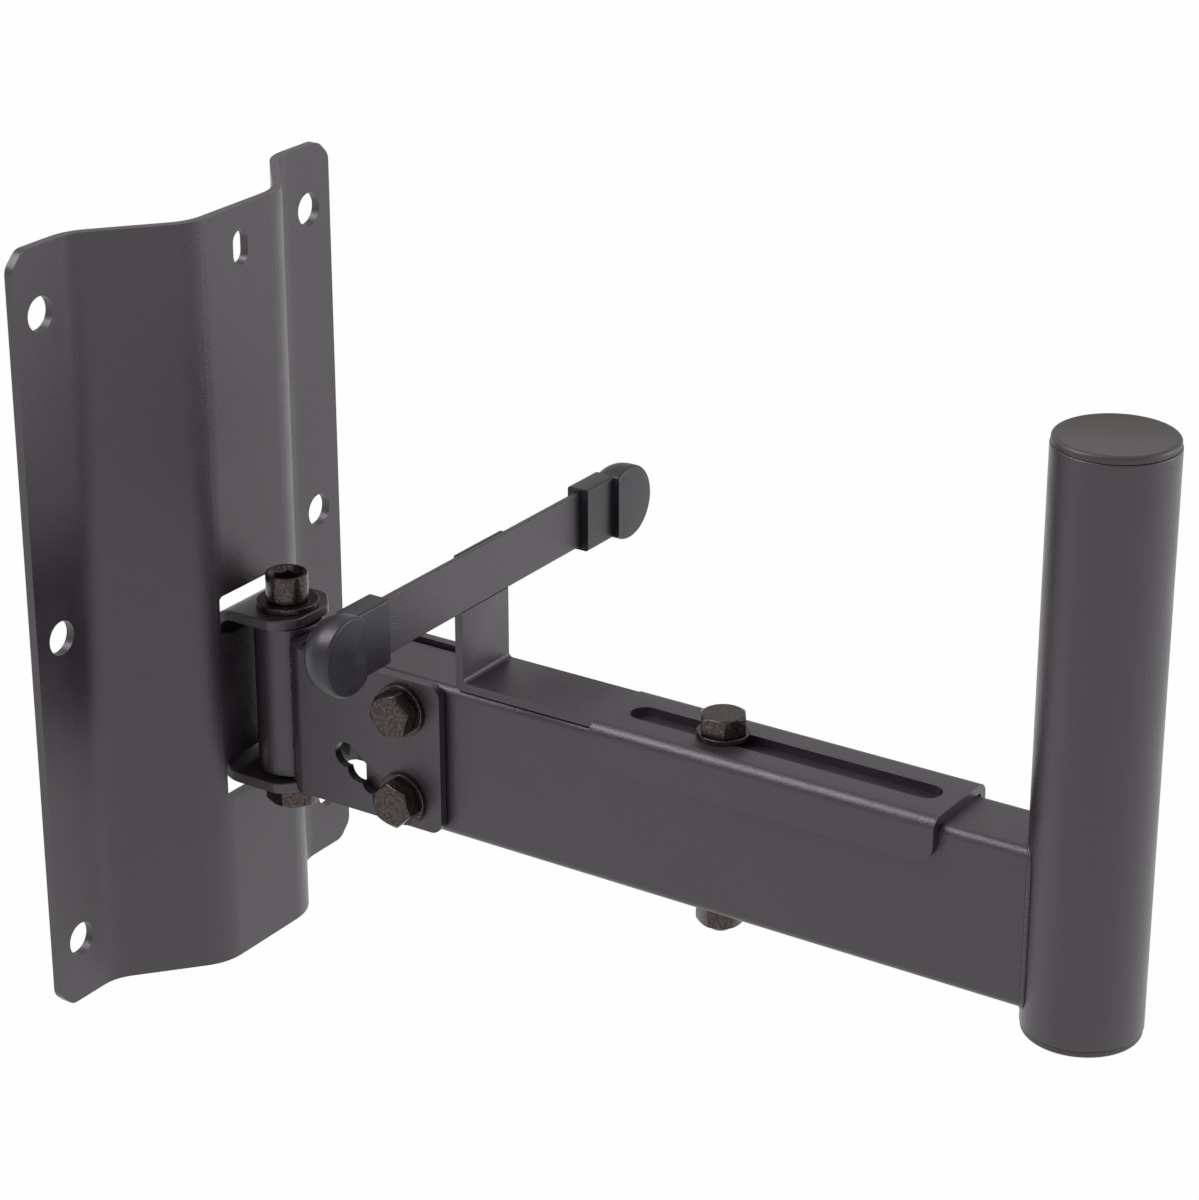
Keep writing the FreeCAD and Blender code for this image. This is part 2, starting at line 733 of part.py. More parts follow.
def make_tilt_bracket():
    """Bend the U channel, then cut its pivot holes and its notched arc slots."""
    body = new_body("tilt_bracket")
    plan = new_sketch(body, "plan", "XY_Plane", lift="bracket_foot")
    draw_rectangle(plan, "-1 * bracket_half", "bracket_half", "bracket_end_y", "bracket_face_y")
    pad(body, "block", plan, "bracket_height")
    throat = new_sketch(body, "throat", "XY_Plane", lift="hinge_z")
    draw_rectangle(throat, "-1 * (bracket_half - bracket_sheet)", "bracket_half - bracket_sheet",
                   f"bracket_end_y - {OVERRUN}", "bracket_inner_y")
    cut_through(body, "throat_cut", throat)
    web_y, inner_y, end_y = value("bracket_face_y"), value("bracket_inner_y"), value("bracket_end_y")
    round_edges(body, "outer_bends",
                lambda edge: along(edge, Z_AXIS) and near(middle(edge).y, web_y),
                "bracket_bend + bracket_sheet")
    round_edges(body, "inner_bends",
                lambda edge: along(edge, Z_AXIS) and near(middle(edge).y, inner_y), "bracket_bend")
    round_edges(body, "nose_corners",
                lambda edge: along(edge, X_AXIS) and near(middle(edge).y, end_y), "bracket_corner")

    pivot = new_sketch(body, "pivot", "YZ_Plane")
    draw_circle(pivot, "pivot_y", "pivot_z", "bolt_shank + 2 * running_gap")
    cut_through(body, "pivot_cut", pivot)

    notch = new_sketch(body, "notch", "YZ_Plane", x="pivot_y", y="pivot_z")
    draw_circle(notch, "0", "-1 * notch_radius", "notch_diameter")
    first_notch = cut_through(body, "notch_cut", notch)
    notches = body.newObject("PartDesign::PolarPattern", "tilt_bracket_notches")
    notches.Originals = [first_notch]
    notches.Axis = (notch, ["N_Axis"])
    notches.Mode = "Spacing"
    bind(notches, {"Offset": "notch_step_angle", "Occurrences": "notch_count"})
    body.Tip = notches
    doc.recompute()

    band = new_sketch(body, "band", "XZ_Plane", y="pivot_z", lift="-1 * pivot_y")
    inner = "-1 * (notch_radius - notch_diameter / 2)"
    draw_rectangle(band, f"-1 * (bracket_half + {OVERRUN})", f"bracket_half + {OVERRUN}",
                   f"{inner} - notch_web", inner)
    groove(body, "band_cut", band, "H_Axis", "notch_step_angle * (notch_count - 1)")
    return body


def make_barrel_welds(barrel, bracket):
    """Lay a bead in each corner between the barrel and the bracket's web."""
    return group("barrel_welds", [
        bead(f"barrel_bead_{side}", "weld_radius", "bracket_height",
             f"{sign} * (barrel_diameter / 2 - weld_radius)", "bracket_face_y + weld_radius / 2",
             "bracket_foot", barrel, bracket)
        for side, sign in (("left", -1), ("right", 1))
    ])


def make_cross_fasteners(name, shank, hole_gap, y, z, angle):
    """Put a bolt across the bracket, with a washer at each side and a nut."""
    length = "2 * (bracket_half + tilt_washer_thickness) + nut_height + bolt_proud"
    bolt = hex_bolt(f"{name}_bolt", shank, length)
    move(bolt, "-1 * (bracket_half + tilt_washer_thickness)", y, z, turned(ALONG_MINUS_X, angle))
    rings = []
    for side, sign, turn in (("near", "-1", ALONG_MINUS_X), ("far", "1", ALONG_PLUS_X)):
        rings.append(washer(f"{name}_washer_{side}", "tilt_washer_diameter", f"{shank} + 2 * {hole_gap}",
                            "tilt_washer_thickness", f"{sign} * bracket_half", y, z, turn))
    nut = hex_nut(f"{name}_nut", shank, "nut_height")
    move(nut, "bracket_half + tilt_washer_thickness", y, z, ALONG_PLUS_X)
    return [bolt, group(f"{name}_washers", rings), nut]


# Arm

def make_arm_tube():
    """Draw the rectangular tube, cope it to the pole and drill it for its bolts."""
    body = new_body("arm_tube")
    section = new_sketch(body, "section", "XZ_Plane", lift="-1 * tube_heel_y")
    draw_round_rectangle(section, "-1 * tube_width / 2", "tube_width / 2", "tube_foot", "tube_top",
                         "tube_corner")
    draw_round_rectangle(section, "-1 * tube_width / 2 + tube_wall", "tube_width / 2 - tube_wall",
                         "tube_foot + tube_wall", "tube_top - tube_wall", "(tube_corner - tube_wall)")
    pad(body, "bar", section, "tube_heel_y - pole_y")
    cope = new_sketch(body, "cope", "XY_Plane")
    draw_circle(cope, "0", "pole_y", "pole_diameter")
    cut_through(body, "cope_cut", cope)

    cross = new_sketch(body, "cross_holes", "YZ_Plane")
    draw_circle(cross, "pivot_y", "pivot_z", "bolt_shank + 2 * bolt_hole_gap")
    draw_circle(cross, "pivot_y", "lock_z", "lock_shank + 2 * bolt_hole_gap")
    cut_through(body, "cross_holes_cut", cross)
    drop = new_sketch(body, "slider_holes", "XY_Plane")
    draw_circle(drop, "0", "slider_bolt_y", "bolt_shank + 2 * bolt_hole_gap")
    cut_through(body, "slider_holes_cut", drop)
    return body


def make_pole_tube():
    """Stand the pole at the end of the arm."""
    wall = cylinder("pole_bar", "pole_diameter", "pole_top - pole_foot", "0", "pole_y", "pole_foot")
    bore = cylinder("pole_bore", "pole_diameter - 2 * pole_wall", "pole_top - pole_foot",
                    "0", "pole_y", "pole_foot")
    return cut("pole_tube", wall, bore)


def make_pole_weld():
    """Run a bead round the arm tube where it meets the pole."""
    body = new_body("pole_weld")
    section = new_sketch(body, "section", "XZ_Plane", lift="-1 * pole_y")
    draw_round_rectangle(section, "-1 * (tube_width / 2 + pole_weld_leg)",
                         "tube_width / 2 + pole_weld_leg", "tube_foot - pole_weld_leg",
                         "weld_top", "(tube_corner + pole_weld_leg)")
    draw_round_rectangle(section, "-1 * tube_width / 2", "tube_width / 2", "tube_foot", "tube_top",
                         "tube_corner")
    pad(body, "collar", section, "pole_diameter", backwards=True)
    outside = new_sketch(body, "outside", "XY_Plane")
    reach = "pole_diameter / 2 + pole_weld_leg"
    draw_rectangle(outside, "-1 * pole_diameter", "pole_diameter",
                   "pole_y - pole_diameter", "pole_y + 2 * pole_diameter")
    draw_circle(outside, "0", "pole_y", f"2 * ({reach})")
    cut_through(body, "outside_cut", outside)
    inside = new_sketch(body, "inside", "XY_Plane")
    draw_circle(inside, "0", "pole_y", "pole_diameter")
    cut_through(body, "inside_cut", inside)
    half, low, high = value("tube_width / 2"), value("tube_foot"), value("tube_top")
    leg, crest, pole_y = value("pole_weld_leg"), value(reach), value("pole_y")

    def is_crest(edge):
        """Say whether an edge is on the collar's outer rim."""
        point = middle(edge)
        away = max(abs(point.x) - half, point.z - high, low - point.z)
        return near(math.hypot(point.x, point.y - pole_y), crest) and away > leg / 2

    chamfer_edges(body, "bevel", is_crest, "pole_weld_bevel")
    return body


def make_cap(name, upper):
    """Turn a plug with a rim that covers the tube's end."""
    body = new_body(name)
    profile = new_sketch(body, "profile", "XZ_Plane")
    rim = "pole_diameter / 2 - cap_inset"
    plug = "pole_diameter / 2 - pole_wall - cap_plug_gap"
    draw_corners(profile, [
        ("0", "cap_thickness"),
        (rim, "cap_thickness"),
        (rim, "0"),
        (plug, "0"),
        (plug, "-1 * cap_plug_depth"),
        (f"{plug} - cap_hollow", "-1 * cap_plug_depth"),
        (f"{plug} - cap_hollow", "0"),
        ("0", "0"),
    ])
    revolve(body, "turned", profile)
    level = value("cap_thickness")
    chamfer_edges(body, "rim_edge", lambda edge: is_circle_at(edge, "z", level), "cap_edge")
    move(body, "0", "pole_y", "pole_top" if upper else "pole_foot", None if upper else UPSIDE_DOWN)
    return body


# Stop

def make_stop_slider():
    """Fold the slotted slider: a saddle on the tube, and a strip that turns up at the wall end."""
    body = new_body("stop_slider")
    saddle = new_sketch(body, "saddle", "XZ_Plane", lift="-1 * skirt_start_y")
    skirt_foot = "strip_top - slider_skirt"
    right = [
        ("skirt_inner_half", "tube_top"),
        ("skirt_inner_half", skirt_foot),
        ("skirt_outer_half", skirt_foot),
        ("skirt_outer_half", "strip_top"),
    ]
    left = [(f"-1 * {x}", z) for x, z in reversed(right)]
    draw_corners(saddle, right + left)
    pad(body, "saddle", saddle, "skirt_start_y - slider_end_y")
    outer, inner = value("skirt_outer_half"), value("skirt_inner_half")
    low, high = value("tube_top"), value("strip_top")
    round_edges(body, "outer_folds",
                lambda edge: along(edge, Y_AXIS) and near(abs(middle(edge).x), outer)
                and near(middle(edge).z, high), "slider_bend + slider_sheet")
    round_edges(body, "inner_folds",
                lambda edge: along(edge, Y_AXIS) and near(abs(middle(edge).x), inner)
                and near(middle(edge).z, low), "slider_bend")
    foot = value(skirt_foot)
    round_edges(body, "skirt_corners",
                lambda edge: along(edge, X_AXIS) and near(middle(edge).z, foot), "slider_skirt_corner")

    profile = new_sketch(body, "profile", "YZ_Plane")
    back = "upright_face_y + slider_sheet"
    draw_corners(profile, [
        (back, "tube_top"),
        (back, "upright_top"),
        ("upright_face_y", "upright_top"),
        ("upright_face_y", "strip_top"),
        ("skirt_start_y - slider_sheet", "strip_top"),
        ("skirt_start_y - slider_sheet", "tube_top"),
    ])
    pad(body, "strip", profile, "strip_width", "Symmetric")
    heel_y, face_y = value(back), value("upright_face_y")
    round_edges(body, "heel_bend",
                lambda edge: along(edge, X_AXIS) and near(middle(edge).y, heel_y)
                and near(middle(edge).z, low), "heel_round")
    round_edges(body, "inner_heel_bend",
                lambda edge: along(edge, X_AXIS) and near(middle(edge).y, face_y)
                and near(middle(edge).z, high), "upright_bend")

    slot = new_sketch(body, "slot", "XY_Plane", lift="tube_top")
    draw_slot(slot, "0", "slot_start_y - slot_length", "slot_start_y", "slot_width")
    cut_through(body, "slot_cut", slot)

    bar_seat = new_sketch(body, "bar_seat", "YZ_Plane")
    draw_rectangle(bar_seat, f"upright_face_y - {OVERRUN}", "bar_back_y", "bar_top - bar_height",
                   f"bar_top + {OVERRUN}")
    cut_through(body, "bar_seat_cut", bar_seat)
    return body


def make_slider_fasteners():
    """Clamp the slider on the arm with one bolt through its slot."""
    thickness = "slider_washer_thickness"
    hole = "bolt_shank + 2 * bolt_hole_gap"
    length = f"slider_sheet + tube_height + 2 * {thickness} + nut_height + bolt_proud"
    bolt = hex_bolt("slider_bolt", "bolt_shank", length)
    move(bolt, "0", "slider_bolt_y", f"strip_top + {thickness}",
         turned(Rotation(), "slider_turn_angle"))
    upper = washer("slider_washer_upper", "slider_washer_diameter", hole, thickness,
                   "0", "slider_bolt_y", "strip_top")
    lower = washer("slider_washer_lower", "slider_washer_diameter", hole, thickness,
                   "0", "slider_bolt_y", f"tube_foot - {thickness}")
    nut = hex_nut("slider_nut", "bolt_shank", "nut_height")
    move(nut, "0", "slider_bolt_y", f"tube_foot - {thickness}", UPSIDE_DOWN)
    return [bolt, group("slider_washers", [upper, lower]), nut]


def make_crossbar():
    """Lay the flat bar across the upright, flush in its seat."""
    bar = box("crossbar", "bar_length", "bar_sheet", "bar_height",
              "-1 * bar_length / 2", "upright_face_y", "bar_top - bar_height")
    bar.Label = "crossbar"
    return bar


def make_crossbar_welds(slider, bar):
    """Lay a bead down each side of the upright, behind the bar."""
    return group("crossbar_welds", [
        bead(f"bar_bead_{side}", "(slider_sheet - bar_sheet)", "bar_height",
             f"{sign} * strip_width / 2", "bar_back_y", "bar_top - bar_height", slider, bar)
        for side, sign in (("left", -1), ("right", 1))
    ])


def make_pads():
    """Mould an end pad, a sleeve over the bar with a domed disc at its end, and mirror it."""
    body = new_body("right_pad")
    disc = new_sketch(body, "disc", "XY_Plane", x="pad_centre_x", lift="bar_middle_z")
    front, back = "sleeve_front_y - pad_front_rise", "sleeve_back_y + pad_back_rise"
    draw_rectangle(disc, "0", "pad_diameter / 2", front, back)
    revolve(body, "disc_turned", disc)
    front_y, back_y = value(front), value(back)
    round_edges(body, "back_round", lambda edge: is_circle_at(edge, "y", back_y), "pad_back_round")
    chamfer_edges(body, "front_edge", lambda edge: is_circle_at(edge, "y", front_y), "pad_front_edge")
    flat = new_sketch(body, "flat", "XZ_Plane", x="pad_centre_x", y="bar_middle_z")
    draw_rectangle(flat, "-1 * pad_diameter", "-1 * pad_flat", "-1 * pad_diameter", "pad_diameter")
    cut_through(body, "flat_cut", flat)

    sleeve = new_sketch(body, "sleeve", "YZ_Plane", lift="sleeve_start")
    draw_round_rectangle(sleeve, "sleeve_front_y", "sleeve_back_y",
                         "bar_middle_z - sleeve_height / 2", "bar_middle_z + sleeve_height / 2",
                         "sleeve_round")
    pad(body, "sleeve_block", sleeve, "sleeve_length")
    seat = new_sketch(body, "seat", "YZ_Plane")
    draw_rectangle(seat, "upright_face_y", "bar_back_y", "bar_top - bar_height", "bar_top")
    pocket(body, "seat_cut", seat, "bar_length / 2", backwards=True)
    twin = doc.addObject("Part::Mirroring", "left_pad")
    twin.Label = "left_pad"
    twin.Source = body
    twin.Normal = X_AXIS
    return [twin, body]


def make_parts():
    """Build every sub-part and return them."""
    plate, clevis = make_wall_plate(), make_hinge_clevis()
    barrel, bracket = make_hinge_barrel(), make_tilt_bracket()
    slider, bar = make_stop_slider(), make_crossbar()
    parts = [plate, clevis, make_clevis_welds(plate, clevis)]
    parts += make_hinge_fasteners()
    parts += [barrel, bracket, make_barrel_welds(barrel, bracket)]
    parts += make_cross_fasteners("tilt_pivot", "bolt_shank", "running_gap", "pivot_y", "pivot_z",
                                  "pivot_turn_angle")
    parts += make_cross_fasteners("tilt_lock", "lock_shank", "bolt_hole_gap", "pivot_y", "lock_z",
                                  "lock_turn_angle")
    parts += [make_arm_tube(), make_pole_tube(), make_pole_weld()]
    parts += [make_cap("pole_top_cap", True), make_cap("pole_bottom_cap", False)]
    parts += [slider, bar, make_crossbar_welds(slider, bar)]
    parts += make_pads()
    parts += make_slider_fasteners()
    return parts


def check_document(parts):
    """Stop if any object failed or any sub-part has no sound shape."""
    doc.recompute()
    for item in doc.Objects:
        if "Invalid" in item.State or "Error" in item.State:
            raise RuntimeError(f"{item.Label} failed: {item.State}")
    for part in parts:
        if part.Shape.isNull() or not part.Shape.isValid():
            raise RuntimeError(f"{part.Label} has no valid shape")


def write_parts(parts):
    """Write each sub-part to a file with its name."""
    os.makedirs("parts", exist_ok=True)
    for part in parts:
        part.Shape.exportStep(f"parts/{part.Label}.step")


fill_sheet()
all_parts = make_parts()
check_document(all_parts)
write_parts(all_parts)
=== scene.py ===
import json
import logging
import math
from dataclasses import dataclass, field, replace
from enum import Enum
from typing import Sequence

import bmesh
import bpy
from mathutils import Matrix, Vector


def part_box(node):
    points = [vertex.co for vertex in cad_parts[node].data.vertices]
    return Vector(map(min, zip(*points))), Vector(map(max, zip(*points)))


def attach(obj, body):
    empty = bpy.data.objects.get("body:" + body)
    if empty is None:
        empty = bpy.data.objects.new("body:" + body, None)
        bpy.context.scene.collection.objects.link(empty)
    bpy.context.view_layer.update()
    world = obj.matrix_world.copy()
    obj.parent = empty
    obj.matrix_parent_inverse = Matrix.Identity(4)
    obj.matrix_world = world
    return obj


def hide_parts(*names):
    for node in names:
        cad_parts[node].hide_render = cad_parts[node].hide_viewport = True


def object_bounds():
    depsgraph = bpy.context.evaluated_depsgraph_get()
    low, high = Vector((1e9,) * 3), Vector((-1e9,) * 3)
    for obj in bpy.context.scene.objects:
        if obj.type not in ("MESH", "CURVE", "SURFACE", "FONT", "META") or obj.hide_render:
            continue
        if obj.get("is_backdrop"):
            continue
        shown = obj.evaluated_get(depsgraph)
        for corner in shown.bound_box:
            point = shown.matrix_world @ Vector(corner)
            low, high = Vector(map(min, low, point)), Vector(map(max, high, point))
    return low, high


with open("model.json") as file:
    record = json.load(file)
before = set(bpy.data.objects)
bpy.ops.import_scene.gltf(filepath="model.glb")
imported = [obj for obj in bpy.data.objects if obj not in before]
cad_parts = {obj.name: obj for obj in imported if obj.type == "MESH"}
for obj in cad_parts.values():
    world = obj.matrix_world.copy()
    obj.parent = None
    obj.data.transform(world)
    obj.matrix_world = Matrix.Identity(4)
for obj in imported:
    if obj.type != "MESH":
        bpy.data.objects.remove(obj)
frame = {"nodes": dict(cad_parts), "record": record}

log = logging.getLogger("wall_bracket")

MM = 0.001
EDGE_ANGLE = math.radians(28)
SHARP_ANGLE = math.radians(35)
FLAT_ANGLE = math.radians(0.2)
WELD_GAP = 1e-6
SEAT_GAP = 0.03 * MM
QUARTER = math.pi / 2
HEX_SIDES = 6
WHITE = (1.0, 1.0, 1.0, 1.0)
NOISE_LEVELS = (0.3, 0.7)
MIX_FIRST, MIX_SECOND, MIX_RESULT = 6, 7, 2
Point = tuple[float, float]
Triple = tuple[float, float, float]


class Body(Enum):
    """The bodies that pieces ride on."""

    WALL = "wall_side"
    HEAD = "swivel_head"
    ARM = "arm"
    STOP = "stop"


class Slot(Enum):
    """The record's material slots."""

    POWDER_COAT = "powder_coat"
    BLACK_OXIDE = "black_oxide"
    PAD_RUBBER = "pad_rubber"
    CAP_PLASTIC = "cap_plastic"


class Side(Enum):
    """The two sides of the bracket, by the sign of X."""

    LEFT = -1
    RIGHT = 1


class Way(Enum):
    """The ways in which a fastener or a cap can point."""

    LEFT = Vector((-1, 0, 0))
    RIGHT = Vector((1, 0, 0))
    UP = Vector((0, 0, 1))
    DOWN = Vector((0, 0, -1))


# Shader graphs

@dataclass(frozen=True)
class Grain:
    """A noise: its waves a metre, its finer layers, how much these count and its levels in the colour."""

    scale: float
    detail: float = 2.0
    roughness: float = 0.5
    levels: Point = NOISE_LEVELS


class Graph:
    """A node tree, with one method that makes its nodes."""

    def __init__(self, owner: bpy.types.Material | bpy.types.World) -> None:
        """Start with an empty node tree.

        Args:
            owner: the material or world that the tree belongs to.
        """
        self.owner = owner
        owner.use_nodes = True
        self.tree = owner.node_tree
        self.tree.nodes.clear()

    def node(self, kind: str, settings: dict | None = None, inputs: dict | None = None) -> bpy.types.Node:
        """Make a node.

        Args:
            kind: the node's type name.
            settings: properties, set before the sockets.
            inputs: values or wires by socket name or index.

        Returns:
            The new node.
        """
        made = self.tree.nodes.new(kind)
        for key, setting in (settings or {}).items():
            setattr(made, key, setting)
        for key, source in (inputs or {}).items():
            socket = made.inputs[key]
            if isinstance(source, Wire):
                self.tree.links.new(source.socket, socket)
            else:
                socket.default_value = source
        return made

    def wire(self, kind: str, settings: dict | None = None, inputs: dict | None = None,
             output: str | int = 0) -> "Wire":
        """Make a node and return the wire from one of its outputs."""
        return Wire(self, self.node(kind, settings, inputs).outputs[output])

    def calculate(self, operation: str, *numbers: "Wire | float") -> "Wire":
        """Add a Math node on some numbers in order and return the wire from it."""
        return self.wire("ShaderNodeMath", {"operation": operation}, dict(enumerate(numbers)))

    def noise(self, grain: Grain) -> "Wire":
        """Make a noise on the Object coordinates.

        Args:
            grain: its sizes.

        Returns:
            The noise, with values about 0.5.
        """
        place = self.wire("ShaderNodeTexCoord", output="Object")
        return self.wire("ShaderNodeTexNoise", inputs={
            "Vector": place, "Scale": grain.scale, "Detail": grain.detail, "Roughness": grain.roughness,
        })

    def mix(self, factor: "Wire", first: Triple, second: Triple) -> "Wire":
        """Mix two colours by a factor."""
        return self.wire("ShaderNodeMix", {"data_type": "RGBA"}, {
            "Factor": factor, MIX_FIRST: (*first, 1.0), MIX_SECOND: (*second, 1.0),
        }, output=MIX_RESULT)

    def bump(self, height: "Wire", strength: float, distance: float) -> "Wire":
        """Turn a height into a normal."""
        return self.wire("ShaderNodeBump", inputs={
            "Height": height, "Strength": strength, "Distance": distance,
        })

    def surface(self, inputs: dict) -> bpy.types.Material:
        """Close the graph with a principled shader.

        Args:
            inputs: the shader's values and wires by socket name.

        Returns:
            The material.
        """
        shader = self.wire("ShaderNodeBsdfPrincipled", inputs=inputs)
        self.node("ShaderNodeOutputMaterial", inputs={"Surface": shader})
        return self.owner


@dataclass(frozen=True)
class Wire:
    """A number on its way from one node to the next, which takes part in arithmetic."""

    graph: Graph
    socket: bpy.types.NodeSocket

    def __add__(self, other: "Wire | float") -> "Wire":
        """Add."""
        return self.graph.calculate("ADD", self, other)

    __radd__ = __add__

    def __mul__(self, other: "Wire | float") -> "Wire":
        """Multiply."""
        return self.graph.calculate("MULTIPLY", self, other)

    __rmul__ = __mul__

    def __sub__(self, other: "Wire | float") -> "Wire":
        """Subtract a number from this one."""
        return self.graph.calculate("SUBTRACT", self, other)

    def __rsub__(self, other: float) -> "Wire":
        """Subtract this from a number."""
        return self.graph.calculate("SUBTRACT", other, self)

    def ramp(self, low: float, high: float) -> "Wire":
        """Spread the stretch between two levels over 0 to 1."""
        return self.graph.wire("ShaderNodeMapRange", {"clamp": True}, {
            "Value": self, "From Min": low, "From Max": high, "To Min": 0.0, "To Max": 1.0,
        })


# Finishes

@dataclass(frozen=True)
class PowderCoat:
    """Baked black powder, half glossy, with a fine orange peel."""

    colour: Triple = (0.0150, 0.0112, 0.0150)
    pale: Triple = (0.0290, 0.0225, 0.0285)
    tint: Triple = (1.0, 0.945, 1.0)
    peel: Grain = Grain(2300.0, 2.0, 0.6, (0.35, 0.75))
    peel_share: float = 0.6
    cloud: Grain = Grain(55.0, 3.0)
    roughness: float = 0.27
    spread: float = 0.10
    refraction: float = 1.72
    bump: float = 0.5
    relief: float = 0.24 * MM

    def material(self) -> bpy.types.Material:
        """Build the material.

        Returns:
            The powder coat.
        """
        graph = Graph(bpy.data.materials.new("powder_coat"))
        peel, cloud = graph.noise(self.peel), graph.noise(self.cloud)
        peel_shade = self.peel_share * peel.ramp(*self.peel.levels)
        cloud_shade = (1 - self.peel_share) * cloud.ramp(*self.cloud.levels)
        return graph.surface({
            "Base Color": graph.mix(peel_shade + cloud_shade, self.colour, self.pale),
            "Roughness": self.roughness + self.spread * cloud.ramp(*NOISE_LEVELS),
            "Normal": graph.bump(peel, self.bump, self.relief),
            "IOR": self.refraction,
            "Specular Tint": (*self.tint, 1.0),
        })


@dataclass(frozen=True)
class BlackOxide:
    """Blackened steel, brown where the light catches it."""

    colour: Triple = (0.045, 0.0355, 0.0335)
    worn: Triple = (0.150, 0.124, 0.119)
    mottle: Grain = Grain(1300.0, 4.0, 0.65, (0.42, 0.78))
    mottle_share: float = 0.7
    grain: Grain = Grain(4000.0, 2.0, 0.6)
    roughness: float = 0.17
    spread: float = 0.2
    metallic: float = 0.9
    bump: float = 0.3
    relief: float = 0.05 * MM

    def material(self) -> bpy.types.Material:
        """Build the material.

        Returns:
            The black oxide.
        """
        graph = Graph(bpy.data.materials.new("black_oxide"))
        mottle, grain = graph.noise(self.mottle), graph.noise(self.grain)
        height = self.mottle_share * mottle + (1 - self.mottle_share) * grain
        return graph.surface({
            "Base Color": graph.mix(mottle.ramp(*self.mottle.levels), self.colour, self.worn),
            "Metallic": self.metallic,
            "Roughness": self.roughness + self.spread * grain.ramp(*NOISE_LEVELS),
            "Normal": graph.bump(height, self.bump, self.relief),
        })


@dataclass(frozen=True)
class PadRubber:
    """Moulded rubber, slightly blue, with a soft bloom."""

    colour: Triple = (0.0120, 0.0108, 0.0130)
    bloom: Triple = (0.0220, 0.0200, 0.0235)
    tint: Triple = (1.0, 0.945, 1.0)
    grain: Grain = Grain(3000.0)
    cloud: Grain = Grain(90.0, 4.0, 0.6, (0.35, 0.75))
    roughness: float = 0.30
    spread: float = 0.12
    refraction: float = 1.55
    bump: float = 0.2
    relief: float = 0.04 * MM

    def material(self) -> bpy.types.Material:
        """Build the material.

        Returns:
            The rubber.
        """
        graph = Graph(bpy.data.materials.new("pad_rubber"))
        grain, cloud = graph.noise(self.grain), graph.noise(self.cloud)
        return graph.surface({
            "Base Color": graph.mix(cloud.ramp(*self.cloud.levels), self.colour, self.bloom),
            "Roughness": self.roughness + self.spread * cloud.ramp(*NOISE_LEVELS),
            "Normal": graph.bump(grain, self.bump, self.relief),
            "IOR": self.refraction,
            "Specular Tint": (*self.tint, 1.0),
        })


@dataclass(frozen=True)
class CapPlastic:
    """Moulded plastic with a spark-eroded grain."""

    colour: Triple = (0.0270, 0.0225, 0.0220)
    pale: Triple = (0.0480, 0.0400, 0.0395)
    tint: Triple = (1.0, 0.95, 0.96)
    grain: Grain = Grain(1800.0, 3.0, 0.6, (0.35, 0.7))
    roughness: float = 0.38
    spread: float = 0.1
    refraction: float = 1.62
    bump: float = 0.3
    relief: float = 0.06 * MM

    def material(self) -> bpy.types.Material:
        """Build the material.

        Returns:
            The plastic.
        """
        graph = Graph(bpy.data.materials.new("cap_plastic"))
        grain = graph.noise(self.grain)
        return graph.surface({
            "Base Color": graph.mix(grain.ramp(*self.grain.levels), self.colour, self.pale),
            "Roughness": self.roughness + self.spread * grain.ramp(*NOISE_LEVELS),
            "Normal": graph.bump(grain, self.bump, self.relief),
            "IOR": self.refraction,
            "Specular Tint": (*self.tint, 1.0),
        })


FINISHES = {
    Slot.POWDER_COAT: PowderCoat(),
    Slot.BLACK_OXIDE: BlackOxide(),
    Slot.PAD_RUBBER: PadRubber(),
    Slot.CAP_PLASTIC: CapPlastic(),
}


# Shapes

def arc(centre: Point, radius: float, start: float, sweep: float, steps: int = 8) -> list[Point]:
    """List the points of an arc, both ends included.

    Args:
        centre: the arc's centre.
        radius: its radius.
        start: the angle of its first point.
        sweep: the angle that it covers.
        steps: the number of its chords.

    Returns:
        The points in order.
    """
    return [(centre[0] + radius * math.cos(start + sweep * step / steps),
             centre[1] + radius * math.sin(start + sweep * step / steps)) for step in range(steps + 1)]


def lathe(profile: Sequence[Point], steps: int = 96) -> bmesh.types.BMesh:
    """Turn a profile of radius and height round Z.

    Args:
        profile: the points in order; a radius of 0 lies on the axis, and a ring ends where it starts.
        steps: the number of facets round.

    Returns:
        The turned mesh.
    """
    mesh = bmesh.new()
    corners = [mesh.verts.new((radius, 0, height)) for radius, height in profile]
    edges = [mesh.edges.new(pair) for pair in zip(corners, corners[1:])]
    bmesh.ops.spin(mesh, geom=corners + edges, cent=(0, 0, 0), axis=(0, 0, 1), dvec=(0, 0, 0),
                   angle=math.tau, steps=steps, use_merge=True)
    bmesh.ops.remove_doubles(mesh, verts=mesh.verts[:], dist=WELD_GAP)
    bmesh.ops.recalc_face_normals(mesh, faces=mesh.faces[:])
    return mesh


def trim(mesh: bmesh.types.BMesh, point: Vector, outwards: Vector) -> None:
    """Cut away what lies beyond a plane and close the cut.

    Args:
        mesh: a closed mesh.
        point: a point of the plane.
        outwards: the plane's normal, towards what goes.
    """
    everything = mesh.verts[:] + mesh.edges[:] + mesh.faces[:]
    made = bmesh.ops.bisect_plane(mesh, geom=everything, dist=WELD_GAP, plane_co=point, plane_no=outwards,
                                  clear_outer=True)
    rim = [item for item in made["geom_cut"] if isinstance(item, bmesh.types.BMEdge)]
    bmesh.ops.edgeloop_fill(mesh, edges=rim)


def cut_hexagon(mesh: bmesh.types.BMesh, across: float) -> None:
    """Cut six flats round Z, with a corner on X.

    Args:
        mesh: a closed mesh.
        across: the width across the flats.
    """
    for side in range(HEX_SIDES):
        angle = math.tau * (side + 0.5) / HEX_SIDES
        outwards = Vector((math.cos(angle), math.sin(angle), 0))
        trim(mesh, outwards * across / 2, outwards)


